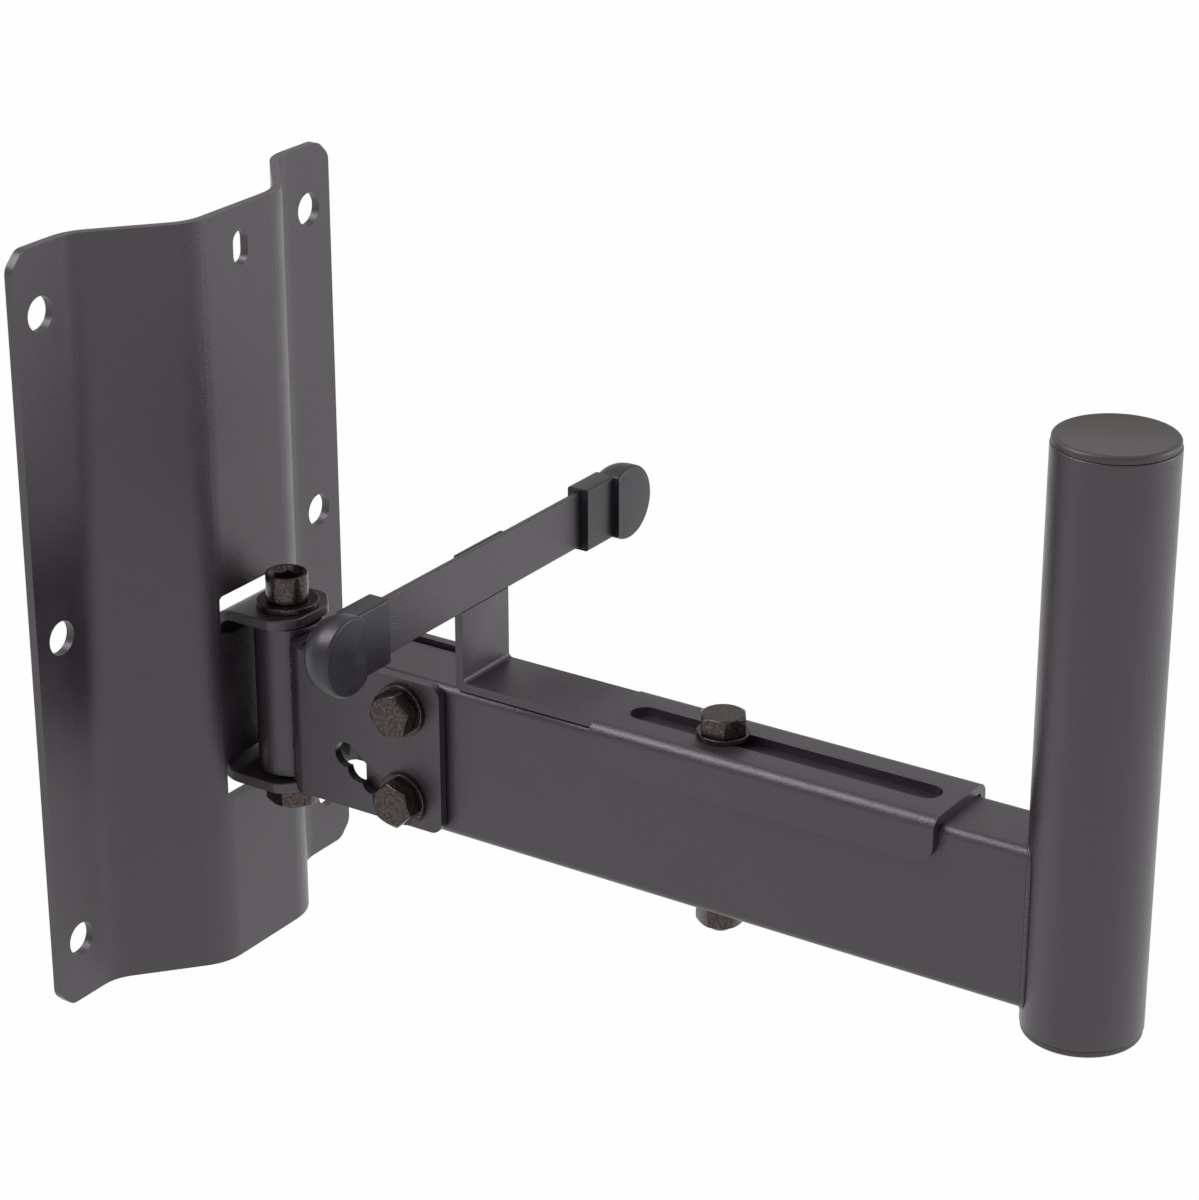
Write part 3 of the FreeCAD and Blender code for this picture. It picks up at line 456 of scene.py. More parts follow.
def soften(mesh: bmesh.types.BMesh, width: float, above: float) -> None:
    """Bevel the sharp edges that reach above a height.

    Args:
        mesh: a closed mesh.
        width: the bevel's width.
        above: the height on Z.
    """
    mesh.normal_update()
    sharp = [edge for edge in mesh.edges if edge.is_manifold and edge.calc_face_angle() > SHARP_ANGLE
             and max(end.co.z for end in edge.verts) > above + WELD_GAP]
    bmesh.ops.bevel(mesh, geom=sharp, offset=width, offset_type="OFFSET", segments=2, profile=0.5,
                    affect="EDGES", material=-1, clamp_overlap=True)


def ring(mesh: bmesh.types.BMesh, radius: float, segments: int, place: Matrix) -> list[bmesh.types.BMEdge]:
    """Draw a ring in a mesh and return its edges."""
    made = bmesh.ops.create_circle(mesh, cap_ends=False, radius=radius, segments=segments, matrix=place)
    return list({edge for vertex in made["verts"] for edge in vertex.link_edges})


def node_copy(node: str) -> bmesh.types.BMesh:
    """Copy a frame node's mesh, joined up and with its flat faces whole.

    Args:
        node: the frame node's name.

    Returns:
        The copy.
    """
    mesh = bmesh.new()
    mesh.from_mesh(frame["nodes"][node].data)
    bmesh.ops.remove_doubles(mesh, verts=mesh.verts[:], dist=WELD_GAP)
    bmesh.ops.dissolve_limit(mesh, angle_limit=FLAT_ANGLE, use_dissolve_boundaries=False,
                             verts=mesh.verts[:], edges=mesh.edges[:])
    return mesh


def joined(meshes: Sequence[bmesh.types.BMesh]) -> bmesh.types.BMesh:
    """Gather several meshes into one.

    Args:
        meshes: the meshes, which are freed.

    Returns:
        The whole.
    """
    whole = bmesh.new()
    for mesh in meshes:
        passing = bpy.data.meshes.new("passing")
        mesh.to_mesh(passing)
        mesh.free()
        whole.from_mesh(passing)
        bpy.data.meshes.remove(passing)
    return whole


# Places

def box_of(*nodes: str) -> tuple[Vector, Vector]:
    """Find the lowest and highest corners of the box round a frame node."""
    low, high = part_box(*nodes)
    return Vector(low), Vector(high)


def end_middle(node: str, way: Way) -> Vector:
    """Find the middle of the end of a node's box that faces a way."""
    low, high = box_of(node)
    return (low + high) / 2 + way.value * abs((high - low).dot(way.value)) / 2


def corner_way(node: str, way: Way) -> Vector:
    """Find where a corner of a fastener's hexagon points.

    Args:
        node: the fastener's frame node.
        way: where its axis points.

    Returns:
        The corner's direction, square to the axis.
    """
    low, high = box_of(node)
    arms = [vertex.co - (low + high) / 2 for vertex in frame["nodes"][node].data.vertices]
    flat = [arm - way.value * arm.dot(way.value) for arm in arms]
    return max(flat, key=lambda arm: arm.length).normalized()


def set_down(mesh: bmesh.types.BMesh, seat: Vector, way: Way, corner: Vector) -> bmesh.types.BMesh:
    """Point a fastener its way and put it on its seat.

    Args:
        mesh: the fastener, which points up Z from its seat and has a corner on X.
        seat: the seat's middle.
        way: where it points.
        corner: where its corner points, square to the way.

    Returns:
        The same mesh.
    """
    turn = Matrix((corner, way.value.cross(corner), way.value)).transposed().to_4x4()
    bmesh.ops.transform(mesh, matrix=Matrix.Translation(seat) @ turn, verts=mesh.verts[:])
    return mesh


class Workshop:
    """Turns finished meshes into pieces that ride, replace nodes and wear a finish."""

    def __init__(self) -> None:
        """Make each finish once."""
        self.materials = {slot: finish.material() for slot, finish in FINISHES.items()}

    def piece(self, name: str, mesh: bmesh.types.BMesh, body: Body, slot: Slot,
              nodes: Sequence[str] = (), edge: float = 0.0, segments: int = 2) -> None:
        """Make a piece.

        Args:
            name: the piece's name.
            mesh: its mesh, in its place; it is freed.
            body: the body that it rides on.
            slot: its finish.
            nodes: the frame nodes that it stands for.
            edge: the rounding of its sharp edges, or 0 for none.
            segments: the facets across that rounding.
        """
        data = bpy.data.meshes.new(name)
        mesh.to_mesh(data)
        mesh.free()
        made = bpy.data.objects.new(name, data)
        bpy.context.scene.collection.objects.link(made)
        data.materials.append(self.materials[slot])
        data.polygons.foreach_set("use_smooth", [True] * len(data.polygons))
        data.set_sharp_from_angle(angle=EDGE_ANGLE)
        if edge:
            bevel = made.modifiers.new("edges", "BEVEL")
            bevel.width = edge
            bevel.segments = segments
            bevel.limit_method = "ANGLE"
            bevel.angle_limit = EDGE_ANGLE
            bevel.harden_normals = True
        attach(made, body.value)
        if nodes:
            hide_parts(*nodes)
        log.info("%s rides on %s in %s", name, body.value, slot.value)

    def dress_node(self, node: str, slot: Slot) -> None:
        """Give a frame node a finish.

        Args:
            node: the frame node's name.
            slot: the finish.
        """
        thing = frame["nodes"][node]
        thing.data.materials.clear()
        thing.data.materials.append(self.materials[slot])
        log.info("%s wears %s", node, slot.value)


# Coated steel

@dataclass
class CoatedSteel:
    """Sheets and tubes: their frame nodes' own shapes, with the edges rounded by the coat."""

    shop: Workshop
    edge: float = 0.45 * MM
    nodes: dict[str, Body] = field(default_factory=lambda: {
        "wall_plate": Body.WALL, "hinge_clevis": Body.WALL, "tilt_bracket": Body.HEAD,
        "stop_slider": Body.STOP, "crossbar": Body.STOP, "hinge_barrel": Body.HEAD,
        "arm_tube": Body.ARM, "pole_tube": Body.ARM,
    })

    def build(self) -> None:
        """Copy each node into a piece."""
        for node, body in self.nodes.items():
            self.shop.piece(f"{node}_coated", node_copy(node), body, Slot.POWDER_COAT, [node], self.edge)


def hollow(along: float) -> float:
    """Find how deep a weld lies at a place counted in ripples: 0 on a crest, 1 between two."""
    return (2 * (along % 1.0) - 1.0) ** 2


@dataclass(frozen=True)
class StraightBead:
    """A weld bead of overlapping puddles, laid up Z."""

    radius: float
    length: float
    ripple: float = 1.5 * MM
    dip: float = 0.16
    lean: float = 0.45
    waver: float = 0.10
    slow_pace: float = 0.9
    quick_pace: float = 2.3
    quick_start: float = 1.0
    steps: int = 6
    facets: int = 20

    def mesh(self) -> bmesh.types.BMesh:
        """Turn the scalloped profile and lean it, so that the ripples lie aslant.

        Returns:
            The bead about the origin.
        """
        count = max(1, round(self.length / self.ripple))
        span = self.length - 2 * self.lean * self.radius
        profile = [(0.0, -span / 2)]
        for step in range(count * self.steps + 1):
            along = step / self.steps
            slow = math.sin(self.slow_pace * along)
            quick = math.sin(self.quick_pace * along + self.quick_start)
            share = 1 - self.dip * hollow(along) - self.waver + self.waver * (slow + quick) / 2
            profile.append((self.radius * share, span * (along / count - 0.5)))
        profile.append((0.0, span / 2))
        mesh = lathe(profile, self.facets)
        lean = Matrix.Identity(4)
        lean[2][0] = self.lean
        bmesh.ops.transform(mesh, matrix=lean, verts=mesh.verts[:])
        return mesh


@dataclass(frozen=True)
class BeadPair:
    """Two upright beads in one frame node, their radius and their axes' height over its low Y."""

    node: str
    body: Body
    radius: float
    rise: float = 0.0


@dataclass
class CornerWelds:
    """The pairs of upright beads that hold sheets and tubes together."""

    shop: Workshop
    slant: float = math.radians(60)
    pairs: tuple[BeadPair, ...] = (
        BeadPair("barrel_welds", Body.HEAD, 2.4 * MM, 1.2 * MM),
        BeadPair("clevis_welds", Body.WALL, 1.8 * MM),
        BeadPair("crossbar_welds", Body.STOP, 0.8 * MM),
    )

    def lay(self, pair: BeadPair) -> None:
        """Lay one pair, with the left bead turned round Z the other way.

        Args:
            pair: the two beads.
        """
        low, high = box_of(pair.node)
        beads = []
        for side in Side:
            bead = StraightBead(pair.radius, high.z - low.z).mesh()
            middle = Vector((side.value * (high.x - pair.radius), low.y + pair.rise, (low.z + high.z) / 2))
            place = Matrix.Translation(middle) @ Matrix.Rotation(side.value * self.slant, 4, "Z")
            bmesh.ops.transform(bead, matrix=place, verts=bead.verts[:])
            beads.append(bead)
        self.shop.piece(f"{pair.node}_rippled", joined(beads), pair.body, Slot.POWDER_COAT, [pair.node])

    def build(self) -> None:
        """Lay every pair."""
        for pair in self.pairs:
            self.lay(pair)


@dataclass
class PoleSeam:
    """The bead that runs round the arm tube where it meets the pole."""

    shop: Workshop
    radius: float = 1.15 * MM
    thin: float = 0.55 * MM
    corner: float = 3.0 * MM
    spacing: float = 0.4 * MM
    ripple: float = 1.4 * MM
    dip: float = 0.12
    blend: int = 3
    segments: int = 12

    def path(self) -> list[tuple[Vector, float]]:
        """Follow the joint once round the tube.

        Returns:
            The bead's centres and radii.
        """
        low, high = box_of("arm_tube")
        pole_low, pole_high = box_of("pole_tube")
        pole_y, pole_radius = (pole_low.y + pole_high.y) / 2, (pole_high.x - pole_low.x) / 2
        right, top = high.x - self.corner, high.z - self.corner
        left, foot = low.x + self.corner, low.z + self.corner
        outline = []
        for turns, centre in enumerate(((right, top), (left, top), (left, foot), (right, foot))):
            outline += arc(centre, self.corner, turns * QUARTER, QUARTER)
        places = []
        for (x0, z0), (x1, z1) in zip(outline, outline[1:] + outline[:1]):
            steps = max(1, round(math.hypot(x1 - x0, z1 - z0) / self.spacing))
            for step in range(steps):
                x, z = x0 + (x1 - x0) * step / steps, z0 + (z1 - z0) * step / steps
                centre = Vector((x, pole_y + math.sqrt(pole_radius ** 2 - x ** 2), z))
                places.append((centre, self.radius if foot < z < top else self.thin))
        return places

    def build(self) -> None:
        """Draw the rings along the path and bridge them."""
        mesh = bmesh.new()
        places = self.path()
        count = len(places)
        window = range(-self.blend, self.blend + 1)
        radii = [sum(places[(index + near) % count][1] for near in window) / len(window)
                 for index in range(count)]
        rings = []
        for index, (centre, _) in enumerate(places):
            along = (places[(index + 1) % count][0] - places[index - 1][0]).normalized()
            across = Vector((0, 1, 0)).cross(along).normalized()
            turn = Matrix((across, along.cross(across), along)).transposed().to_4x4()
            radius = radii[index] * (1 - self.dip * hollow(index * self.spacing / self.ripple))
            rings.append(ring(mesh, radius, self.segments, Matrix.Translation(centre) @ turn))
        for first, second in zip(rings, rings[1:] + rings[:1]):
            bmesh.ops.bridge_loops(mesh, edges=first + second)
        bmesh.ops.recalc_face_normals(mesh, faces=mesh.faces[:])
        self.shop.piece("pole_weld_rippled", mesh, Body.ARM, Slot.POWDER_COAT, ["pole_weld"])


# Fasteners

@dataclass(frozen=True)
class Thread:
    """A coarse metric thread, drawn as rings, with its depth, chamfer and steps in pitches."""

    diameter: float
    pitch: float
    depth: float = 0.61
    chamfer: float = 0.8
    root_start: float = 0.45
    root_end: float = 0.55
    crest_start: float = 0.95

    @property
    def radius(self) -> float:
        """The radius over the crests."""
        return self.diameter / 2

    @property
    def core(self) -> float:
        """The radius at the roots."""
        return self.radius - self.depth * self.pitch

    def profile(self, start: float, end: float) -> list[Point]:
        """Draw the outline from the plain shank down to the chamfered end.

        Args:
            start: the height where the rings begin.
            end: the height of the shank's end.

        Returns:
            The points of radius and height.
        """
        steps = ((self.core, self.root_start), (self.core, self.root_end),
                 (self.radius, self.crest_start), (self.radius, 1.0))
        last = end + self.chamfer * self.pitch
        points = [(self.radius, start)]
        level = start
        while level - self.pitch > last:
            points += [(radius, level - share * self.pitch) for radius, share in steps]
            level -= self.pitch
        return points + [(self.radius, last), (self.core, end), (0, end)]


M6 = Thread(6.0 * MM, 1.0 * MM)
M8 = Thread(8.0 * MM, 1.25 * MM)
M10 = Thread(10.0 * MM, 1.5 * MM)


@dataclass(frozen=True)
class Hexagon:
    """The outside of a bolt's head or a nut, with a bevelled top and a round washer face below."""

    across: float = 13.0 * MM
    height: float = 5.5 * MM
    bevel: float = math.radians(30)
    inset: float = 0.3 * MM
    face: float = 0.3 * MM
    spare: float = 1.02

    def outside(self) -> list[Point]:
        """Draw the outline from the bevel's top down to the seat, before the flats are cut.

        Returns:
            The points of radius and height.
        """
        reach = self.spare * self.across / math.sqrt(3)
        inner = self.across / 2 - self.inset
        return [(inner, self.height), (reach, self.height - (reach - inner) * math.tan(self.bevel)),
                (reach, self.face), (inner, self.face), (inner, 0)]


@dataclass(frozen=True)
class HexBolt:
    """A hexagon bolt on its seat, with its shank hanging down."""

    thread: Thread
    length: float
    head: Hexagon = Hexagon()
    threaded: float = 14.0 * MM
    edge: float = 0.22 * MM

    def mesh(self) -> bmesh.types.BMesh:
        """Turn the head and shank and cut the flats.

        Returns:
            The bolt, with its seat at Z 0.
        """
        shank = [(self.thread.radius, 0)] + self.thread.profile(self.threaded - self.length, -self.length)
        mesh = lathe([(0, self.head.height)] + self.head.outside() + shank)
        cut_hexagon(mesh, self.head.across)
        soften(mesh, self.edge, self.head.face)
        return mesh


@dataclass(frozen=True)
class HexNut:
    """A hexagon nut on its seat."""

    thread: Thread
    block: Hexagon
    countersink: float = 0.5 * MM
    edge: float = 0.22 * MM

    def mesh(self) -> bmesh.types.BMesh:
        """Turn the block round its bore and cut the flats.

        Returns:
            The nut, with its seat at Z 0.
        """
        bore, height = self.thread.core, self.block.height
        mouth = self.thread.radius + self.countersink / 2
        drop = mouth - bore
        mesh = lathe([(mouth, height)] + self.block.outside()
                     + [(mouth, 0), (bore, drop), (bore, height - drop), (mouth, height)])
        cut_hexagon(mesh, self.block.across)
        soften(mesh, self.edge, self.block.face)
        return mesh


@dataclass(frozen=True)
class FlatWasher:
    """A flat washer on its seat."""

    diameter: float
    bore: float
    thickness: float

    def mesh(self) -> bmesh.types.BMesh:
        """Turn the ring."""
        inner, outer = self.bore / 2, self.diameter / 2
        return lathe([(inner, 0), (outer, 0), (outer, self.thickness), (inner, self.thickness), (inner, 0)])


TILT_WASHER = FlatWasher(17.0 * MM, 8.4 * MM, 1.8 * MM)
SLIDER_WASHER = FlatWasher(16.0 * MM, 8.4 * MM, 1.6 * MM)


@dataclass(frozen=True)
class SocketBolt:
    """A socket head bolt on its seat, with its shank hanging down."""

    thread: Thread
    length: float
    head_diameter: float = 13.5 * MM
    head_height: float = 9.0 * MM
    rim: float = 0.4 * MM
    mouth: float = 11.4 * MM
    across: float = 8.0 * MM
    depth: float = 5.5 * MM
    threaded: float = 20.0 * MM
    edge: float = 0.2 * MM
    facets: int = 96
    rim_steps: int = 4

    def mesh(self) -> bmesh.types.BMesh:
        """Turn the outside and sink the socket into its open top.

        Returns:
            The bolt, with its seat at Z 0.
        """
        radius, top = self.head_diameter / 2, self.head_height
        profile = [(self.mouth / 2, top), (radius - self.rim, top)]
        profile += arc((radius - self.rim, top - self.rim), self.rim, QUARTER, -QUARTER, self.rim_steps)[1:]
        profile += [(radius, self.rim), (radius - self.rim, 0), (self.thread.radius, 0)]
        profile += self.thread.profile(self.threaded - self.length, -self.length)
        mesh = lathe(profile, self.facets)
        mouth = [edge for edge in mesh.edges if edge.is_boundary]
        hexagon = ring(mesh, self.across / math.sqrt(3), HEX_SIDES, Matrix.Translation((0, 0, top)))
        split = bmesh.ops.subdivide_edges(mesh, edges=hexagon, cuts=self.facets // HEX_SIDES - 1)
        divided = [item for item in split["geom_inner"] if isinstance(item, bmesh.types.BMVert)]
        wall = list({edge for vertex in divided for edge in vertex.link_edges})
        for vertex in {end for edge in wall for end in edge.verts}:
            vertex.co.z -= self.mouth / 2 - vertex.co.xy.length
        bmesh.ops.bridge_loops(mesh, edges=mouth + wall)
        made = bmesh.ops.extrude_edge_only(mesh, edges=wall)
        for vertex in (item for item in made["geom"] if isinstance(item, bmesh.types.BMVert)):
            vertex.co.z = top - self.depth
        bmesh.ops.edgeloop_fill(mesh, edges=[edge for edge in mesh.edges if edge.is_boundary])
        bmesh.ops.recalc_face_normals(mesh, faces=mesh.faces[:])
        soften(mesh, self.edge, self.rim)
        return mesh


@dataclass
class HingeFasteners:
    """The bolt that the head swivels on, its washer and its nut."""

    shop: Workshop
    washer_edge: float = 0.3 * MM
    washer: FlatWasher = FlatWasher(20.0 * MM, 10.6 * MM, 2.0 * MM)
    nut: HexNut = HexNut(M10, Hexagon(16.0 * MM, 8.0 * MM))

    def build(self) -> None:
        """Stand the bolt in the clevis with its nut below."""
        seat = end_middle("hinge_washer", Way.UP)
        bolt = SocketBolt(M10, (seat - end_middle("hinge_bolt", Way.DOWN)).length).mesh()
        ahead = Way.RIGHT.value
        self.shop.piece("hinge_bolt_turned", set_down(bolt, seat, Way.UP, ahead), Body.WALL,
                        Slot.BLACK_OXIDE, ["hinge_bolt"])
        washer = set_down(self.washer.mesh(), end_middle("hinge_washer", Way.DOWN), Way.UP, ahead)
        self.shop.piece("hinge_washer_turned", washer, Body.WALL, Slot.BLACK_OXIDE, ["hinge_washer"],
                        self.washer_edge)
        nut = set_down(self.nut.mesh(), end_middle("hinge_nut", Way.UP), Way.DOWN,
                       corner_way("hinge_nut", Way.DOWN))
        self.shop.piece("hinge_nut_cut", nut, Body.WALL, Slot.BLACK_OXIDE, ["hinge_nut"])


@dataclass
class ThroughBolt:
    """A hexagon bolt through the arm, with a washer at each end and a nut."""

    shop: Workshop
    name: str
    thread: Thread
    way: Way
    back: Way
    washer: FlatWasher
    nut_height: float = 6.5 * MM
    washer_edge: float = 0.3 * MM

    def build(self) -> None:
        """Set the bolt, both washers and the nut down on their seats."""
        bolt_node, nut_node, washer_node = (f"{self.name}_{kind}" for kind in ("bolt", "nut", "washers"))
        seat, far_seat = end_middle(washer_node, self.way), end_middle(washer_node, self.back)
        bolt = HexBolt(self.thread, (seat - end_middle(bolt_node, self.back)).length).mesh()
        corner = corner_way(bolt_node, self.way)
        self.shop.piece(f"{bolt_node}_cut", set_down(bolt, seat, self.way, corner), Body.ARM,
                        Slot.BLACK_OXIDE, [bolt_node])
        nut = HexNut(self.thread, Hexagon(height=self.nut_height)).mesh()
        set_down(nut, far_seat, self.back, corner_way(nut_node, self.back))
        self.shop.piece(f"{nut_node}_cut", nut, Body.ARM, Slot.BLACK_OXIDE, [nut_node])
        thinner = replace(self.washer, thickness=self.washer.thickness - SEAT_GAP)
        rings = [set_down(thinner.mesh(), end - way.value * thinner.thickness, way, corner)
                 for end, way in ((seat, self.way), (far_seat, self.back))]
        self.shop.piece(f"{washer_node}_turned", joined(rings), Body.ARM, Slot.BLACK_OXIDE,
                        [washer_node], self.washer_edge)


# Plastic and rubber

@dataclass
class PoleCaps:
    """The moulded caps that close the pole."""

    shop: Workshop
    radius: float = 17.2 * MM
    thickness: float = 2.2 * MM
    round: float = 1.1 * MM
    lip: float = 0.15 * MM
    lip_width: float = 0.5 * MM
    foot_round: float = 0.25 * MM
    plug: float = 15.4 * MM
    plug_wall: float = 3.0 * MM
    plug_depth: float = 14.0 * MM
    foot_steps: int = 3
    facets: int = 128

    def mesh(self) -> bmesh.types.BMesh:
        """Turn a cap, with its plug hanging down.

        Returns:
            The cap, with the pole's end at Z 0.
        """
        crown, foot = self.radius - self.round, self.radius - self.foot_round
        bore, depth = self.plug - self.plug_wall, -self.plug_depth
        profile = [(0, self.thickness - self.lip), (crown - 2 * self.lip_width, self.thickness - self.lip),
                   (crown - self.lip_width, self.thickness)]
        profile += arc((crown, self.thickness - self.round), self.round, QUARTER, -QUARTER)
        profile += arc((foot, self.foot_round), self.foot_round, 0, -QUARTER, self.foot_steps)
        profile += [(self.plug, 0), (self.plug, depth), (bore, depth), (bore, 0), (0, 0)]
        return lathe(profile, self.facets)

    def build(self) -> None:
        """Put a cap on each end of the pole."""
        for name, way in (("pole_top_cap", Way.UP), ("pole_bottom_cap", Way.DOWN)):
            cap = set_down(self.mesh(), end_middle("pole_tube", way), way, Way.RIGHT.value)
            self.shop.piece(f"{name}_moulded", cap, Body.ARM, Slot.CAP_PLASTIC, [name])


@dataclass
class EndPads:
    """The rubber pads on the crossbar: a sleeve over the bar and a domed disc cut flat at the sleeve."""

    shop: Workshop
    disc: float = 24.0 * MM
    flat: float = 6.7 * MM
    front_edge: float = 0.9 * MM
    back_round: float = 9.3 * MM
    sleeve_round: float = 0.9 * MM
    overhang: float = 1.25 * MM
    overlap: float = 1.0 * MM
    seat_gap: float = 0.15 * MM
    seat_depth: float = 2.0 * MM
    wall: float = 2.8 * MM
    edge: float = 0.5 * MM
    edge_segments: int = 3
    round_segments: int = 5
    front_steps: int = 6
    dome_steps: int = 24
    facets: int = 128

    def disc_mesh(self, front: float, back: float) -> bmesh.types.BMesh:
        """Turn the disc about Y, from its front to its domed back, and cut its flat side.

        Args:
            front: the front's place on Y.
            back: the place of the dome's top on Y.

        Returns:
            The disc, with its flat side at X 0.
        """
        front_rim, back_rim = self.disc / 2 - self.front_edge, self.disc / 2 - self.back_round
        profile = [(0, -front), (front_rim, -front)]
        profile += arc((front_rim, -front - self.front_edge), self.front_edge, QUARTER, -QUARTER,
                       self.front_steps)[1:]
        profile += arc((back_rim, -back + self.back_round), self.back_round, 0, -QUARTER, self.dome_steps)
        profile += [(0, -back)]
        mesh = lathe(profile, self.facets)
        turn = Matrix.Translation((self.flat, 0, 0)) @ Matrix.Rotation(QUARTER, 4, "X")
        bmesh.ops.transform(mesh, matrix=turn, verts=mesh.verts[:])
        trim(mesh, Vector(), Vector((-1, 0, 0)))
        return mesh

    def sleeve_mesh(self, low: Vector, high: Vector, bar: tuple[Vector, Vector]) -> bmesh.types.BMesh:
        """Box the right pad's sleeve and sink the bar's seat into its inner end.

        Args:
            low: the sleeve's lowest corner.
            high: its highest corner.
            bar: the crossbar's lowest and highest corners.

        Returns:
            The sleeve.
        """
        mesh = bmesh.new()
        bmesh.ops.create_cube(mesh, size=1.0)
        bmesh.ops.scale(mesh, vec=high - low, verts=mesh.verts[:])
        bmesh.ops.translate(mesh, vec=(low + high) / 2, verts=mesh.verts[:])
        mesh.normal_update()
        along = [edge for edge in mesh.edges if abs(edge.verts[0].co.x - edge.verts[1].co.x) > self.overlap]
        bmesh.ops.bevel(mesh, geom=along, offset=self.sleeve_round, offset_type="OFFSET",
                        segments=self.round_segments, profile=0.5, affect="EDGES", material=-1)
        mesh.normal_update()
        end = min(mesh.faces, key=lambda face: face.calc_center_median().x)
        bmesh.ops.inset_region(mesh, faces=[end], thickness=self.sleeve_round, use_even_offset=True)
        bar_low, bar_high = bar
        for vertex in end.verts:
            above = vertex.co - (low + high) / 2
            vertex.co.y = bar_high.y + self.seat_gap if above.y > 0 else bar_low.y - self.seat_gap
            vertex.co.z = bar_high.z + self.seat_gap if above.z > 0 else bar_low.z - self.seat_gap
        made = bmesh.ops.extrude_face_region(mesh, geom=[end])
        sunk = [item for item in made["geom"] if isinstance(item, bmesh.types.BMVert)]
        bmesh.ops.translate(mesh, vec=(self.seat_depth, 0, 0), verts=sunk)
        bmesh.ops.delete(mesh, geom=[end], context="FACES_ONLY")
        bmesh.ops.remove_doubles(mesh, verts=mesh.verts[:], dist=WELD_GAP)
        bmesh.ops.recalc_face_normals(mesh, faces=mesh.faces[:])
        return mesh

    def build(self) -> None:
        """Mould the right pad and mirror it for the left."""
        low, high = box_of("right_pad")
        bar_low, bar_high = box_of("crossbar")
        middle_z, flat_x = (low.z + high.z) / 2, high.x - self.disc / 2 - self.flat
        half = (bar_high.z - bar_low.z) / 2 + self.overhang
        sleeve_low = Vector((low.x, bar_low.y - self.wall, middle_z - half))
        sleeve_high = Vector((flat_x + self.overlap, bar_high.y + self.wall, middle_z + half))
        for side in Side:
            disc = self.disc_mesh(low.y, high.y)
            bmesh.ops.translate(disc, vec=(flat_x, 0, middle_z), verts=disc.verts[:])
            pad = joined([disc, self.sleeve_mesh(sleeve_low, sleeve_high, (bar_low, bar_high))])
            if side is Side.LEFT:
                bmesh.ops.scale(pad, vec=(-1, 1, 1), verts=pad.verts[:])
                bmesh.ops.reverse_faces(pad, faces=pad.faces[:])
            node = f"{side.name.lower()}_pad"
            self.shop.piece(f"{node}_moulded", pad, Body.STOP, Slot.PAD_RUBBER, [node], self.edge,
                            self.edge_segments)


# Studio

@dataclass(frozen=True)
class SoftBox:
    """A rectangular lamp: its place, its width and height, and its power in watts."""

    name: str
    place: Triple
    size: Point
    power: float


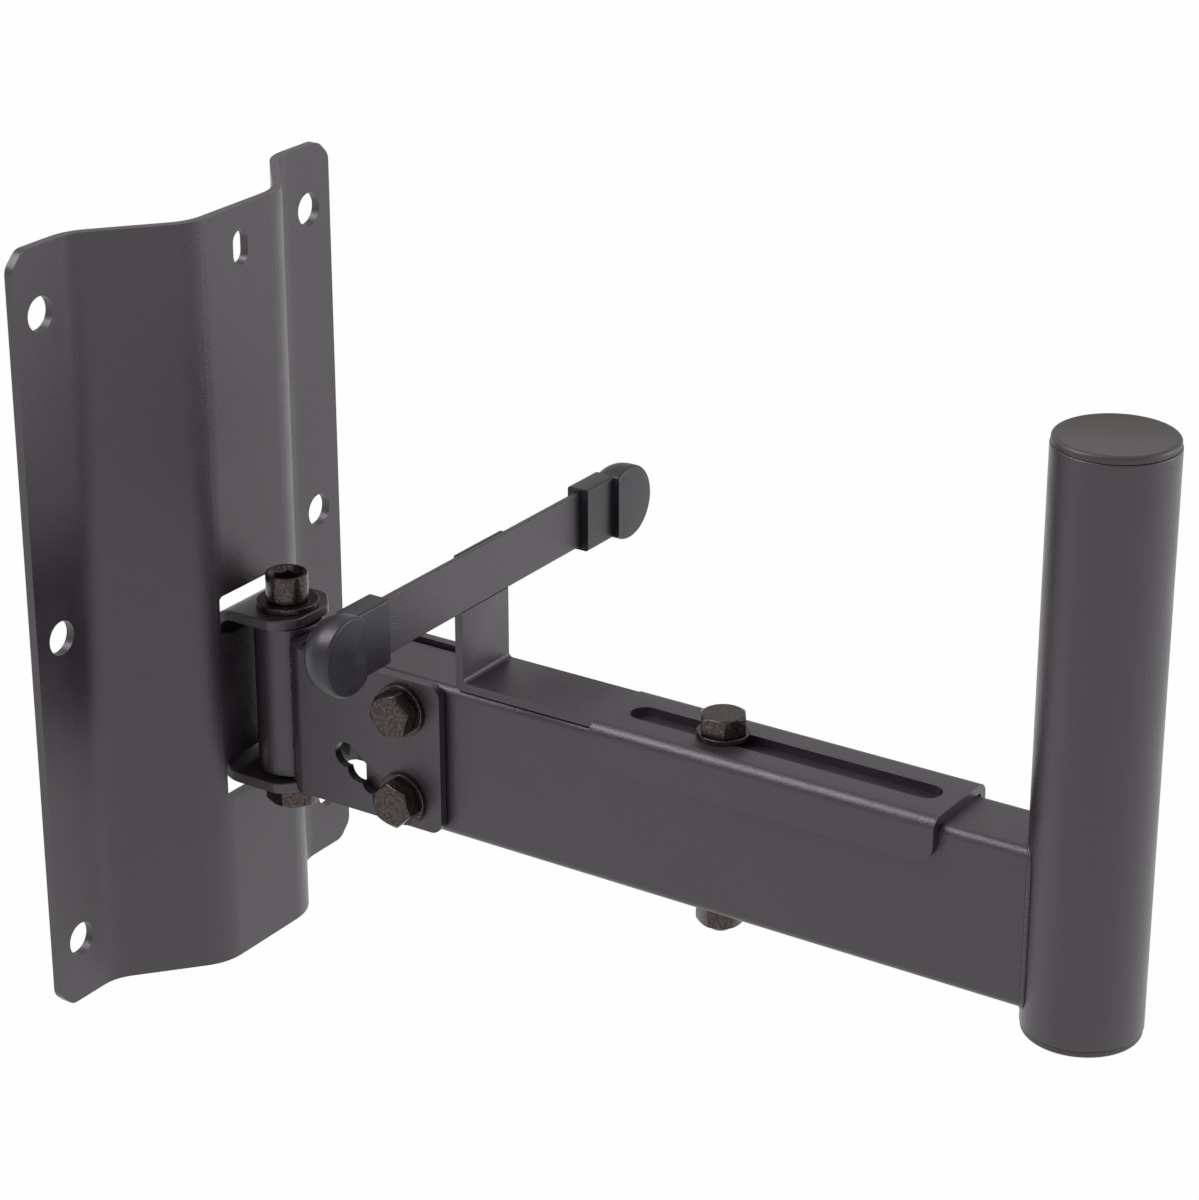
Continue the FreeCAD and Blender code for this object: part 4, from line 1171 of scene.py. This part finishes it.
@dataclass
class Studio:
    """Floor, backdrop, lamps and camera."""

    focal_pixels: float = 3501.76
    frame_width: float = 1199.0
    azimuth: float = -56.437
    elevation: float = 23.011
    roll: float = -0.044
    distance: float = 1241.415 * MM
    target: Triple = (161.138 * MM, -50.813 * MM, -55.919 * MM)
    sensor: float = 36.0
    clip: Point = (0.01, 100.0)
    floor_drop: float = 0.5
    floor_size: float = 30.0
    world_strength: float = 0.6
    backdrop_white: float = 0.98
    backdrop_matt: Triple = (0.8, 0.8, 0.8)
    lamp_aim: Triple = (0.0, -0.16, 0.0)
    lamps: tuple[SoftBox, ...] = (
        SoftBox("overhead", (-0.45, 0.5, 1.1), (0.5, 1.0), 10.0),
        SoftBox("front", (0.9, -1.5, 0.4), (0.9, 0.9), 8.0),
    )

    def build_camera(self) -> None:
        """Place the camera at the photo's angle."""
        azimuth, elevation = math.radians(self.azimuth), math.radians(self.elevation)
        back = Vector((math.sin(azimuth) * math.cos(elevation), -math.cos(azimuth) * math.cos(elevation),
                       math.sin(elevation)))
        camera = bpy.data.objects.new("camera", bpy.data.cameras.new("camera"))
        camera.data.sensor_width = self.sensor
        camera.data.lens = self.focal_pixels * self.sensor / self.frame_width
        camera.data.clip_start, camera.data.clip_end = self.clip
        turn = (-back).to_track_quat("-Z", "Y")
        camera.rotation_mode = "QUATERNION"
        camera.rotation_quaternion = turn @ Matrix.Rotation(math.radians(self.roll), 3, "Z").to_quaternion()
        camera.location = Vector(self.target) + back * self.distance
        bpy.context.scene.collection.objects.link(camera)
        bpy.context.scene.camera = camera

    def backdrop_material(self) -> bpy.types.Material:
        """Make a surface that the camera and gloss see as white, and that still takes a shadow.

        Returns:
            The backdrop's material.
        """
        graph = Graph(bpy.data.materials.new("backdrop"))
        path = graph.node("ShaderNodeLightPath")
        camera, gloss, glass = (Wire(graph, path.outputs[f"Is {ray} Ray"])
                                for ray in ("Camera", "Glossy", "Transmission"))
        seen = graph.calculate("MINIMUM", camera + gloss + glass, 1.0)
        white = graph.wire("ShaderNodeEmission", inputs={"Color": WHITE, "Strength": 1.0})
        matt = graph.wire("ShaderNodeBsdfDiffuse", inputs={"Color": (*self.backdrop_matt, 1.0)})
        blend = graph.wire("ShaderNodeMixShader", inputs={0: seen * self.backdrop_white, 1: matt, 2: white})
        graph.node("ShaderNodeOutputMaterial", inputs={"Surface": blend})
        return graph.owner

    def build_floor(self) -> None:
        """Lay the floor below the object."""
        low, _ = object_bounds()
        mesh = bmesh.new()
        bmesh.ops.create_grid(mesh, x_segments=1, y_segments=1, size=self.floor_size / 2)
        bmesh.ops.translate(mesh, verts=mesh.verts[:], vec=(0, 0, low.z - self.floor_drop))
        data = bpy.data.meshes.new("floor")
        mesh.to_mesh(data)
        mesh.free()
        floor = bpy.data.objects.new("floor", data)
        data.materials.append(self.backdrop_material())
        bpy.context.scene.collection.objects.link(floor)
        floor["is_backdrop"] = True

    def build_world(self) -> None:
        """Light the object from all round, before a backdrop that the camera sees as white."""
        graph = Graph(bpy.data.worlds.new("studio"))
        seen = graph.wire("ShaderNodeLightPath", output="Is Camera Ray")
        strength = self.backdrop_white * seen + self.world_strength * (1 - seen)
        background = graph.wire("ShaderNodeBackground", inputs={"Color": WHITE, "Strength": strength})
        graph.node("ShaderNodeOutputWorld", inputs={"Surface": background})
        bpy.context.scene.world = graph.owner

    def hang(self, box: SoftBox) -> None:
        """Hang a lamp that faces the object.

        Args:
            box: the lamp.
        """
        data = bpy.data.lights.new(box.name, "AREA")
        data.shape = "RECTANGLE"
        data.size, data.size_y = box.size
        data.energy = box.power
        lamp = bpy.data.objects.new(box.name, data)
        lamp.location = box.place
        lamp.rotation_mode = "QUATERNION"
        lamp.rotation_quaternion = (Vector(self.lamp_aim) - Vector(box.place)).to_track_quat("-Z", "Y")
        bpy.context.scene.collection.objects.link(lamp)

    def build(self) -> None:
        """Set up the studio."""
        bpy.context.scene.view_settings.view_transform = "Standard"
        self.build_camera()
        self.build_floor()
        self.build_world()
        for box in self.lamps:
            self.hang(box)


def main(frame_box: tuple[Vector, Vector]) -> None:
    """Build every piece and the studio.

    Args:
        frame_box: the frame's lowest and highest corners, from before any piece is there; not used.
    """
    logging.basicConfig(level=logging.INFO, format="%(message)s")
    shop = Workshop()
    CoatedSteel(shop).build()
    CornerWelds(shop).build()
    PoleSeam(shop).build()
    HingeFasteners(shop).build()
    ThroughBolt(shop, "tilt_pivot", M8, Way.LEFT, Way.RIGHT, TILT_WASHER).build()
    ThroughBolt(shop, "tilt_lock", M6, Way.LEFT, Way.RIGHT, TILT_WASHER).build()
    ThroughBolt(shop, "slider", M8, Way.UP, Way.DOWN, SLIDER_WASHER).build()
    PoleCaps(shop).build()
    EndPads(shop).build()
    for entry in frame["record"]["subparts"]:
        shop.dress_node(entry["node"], Slot(entry["material_slot"]))
    Studio().build()


if __name__ == "__main__":
    main(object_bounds())
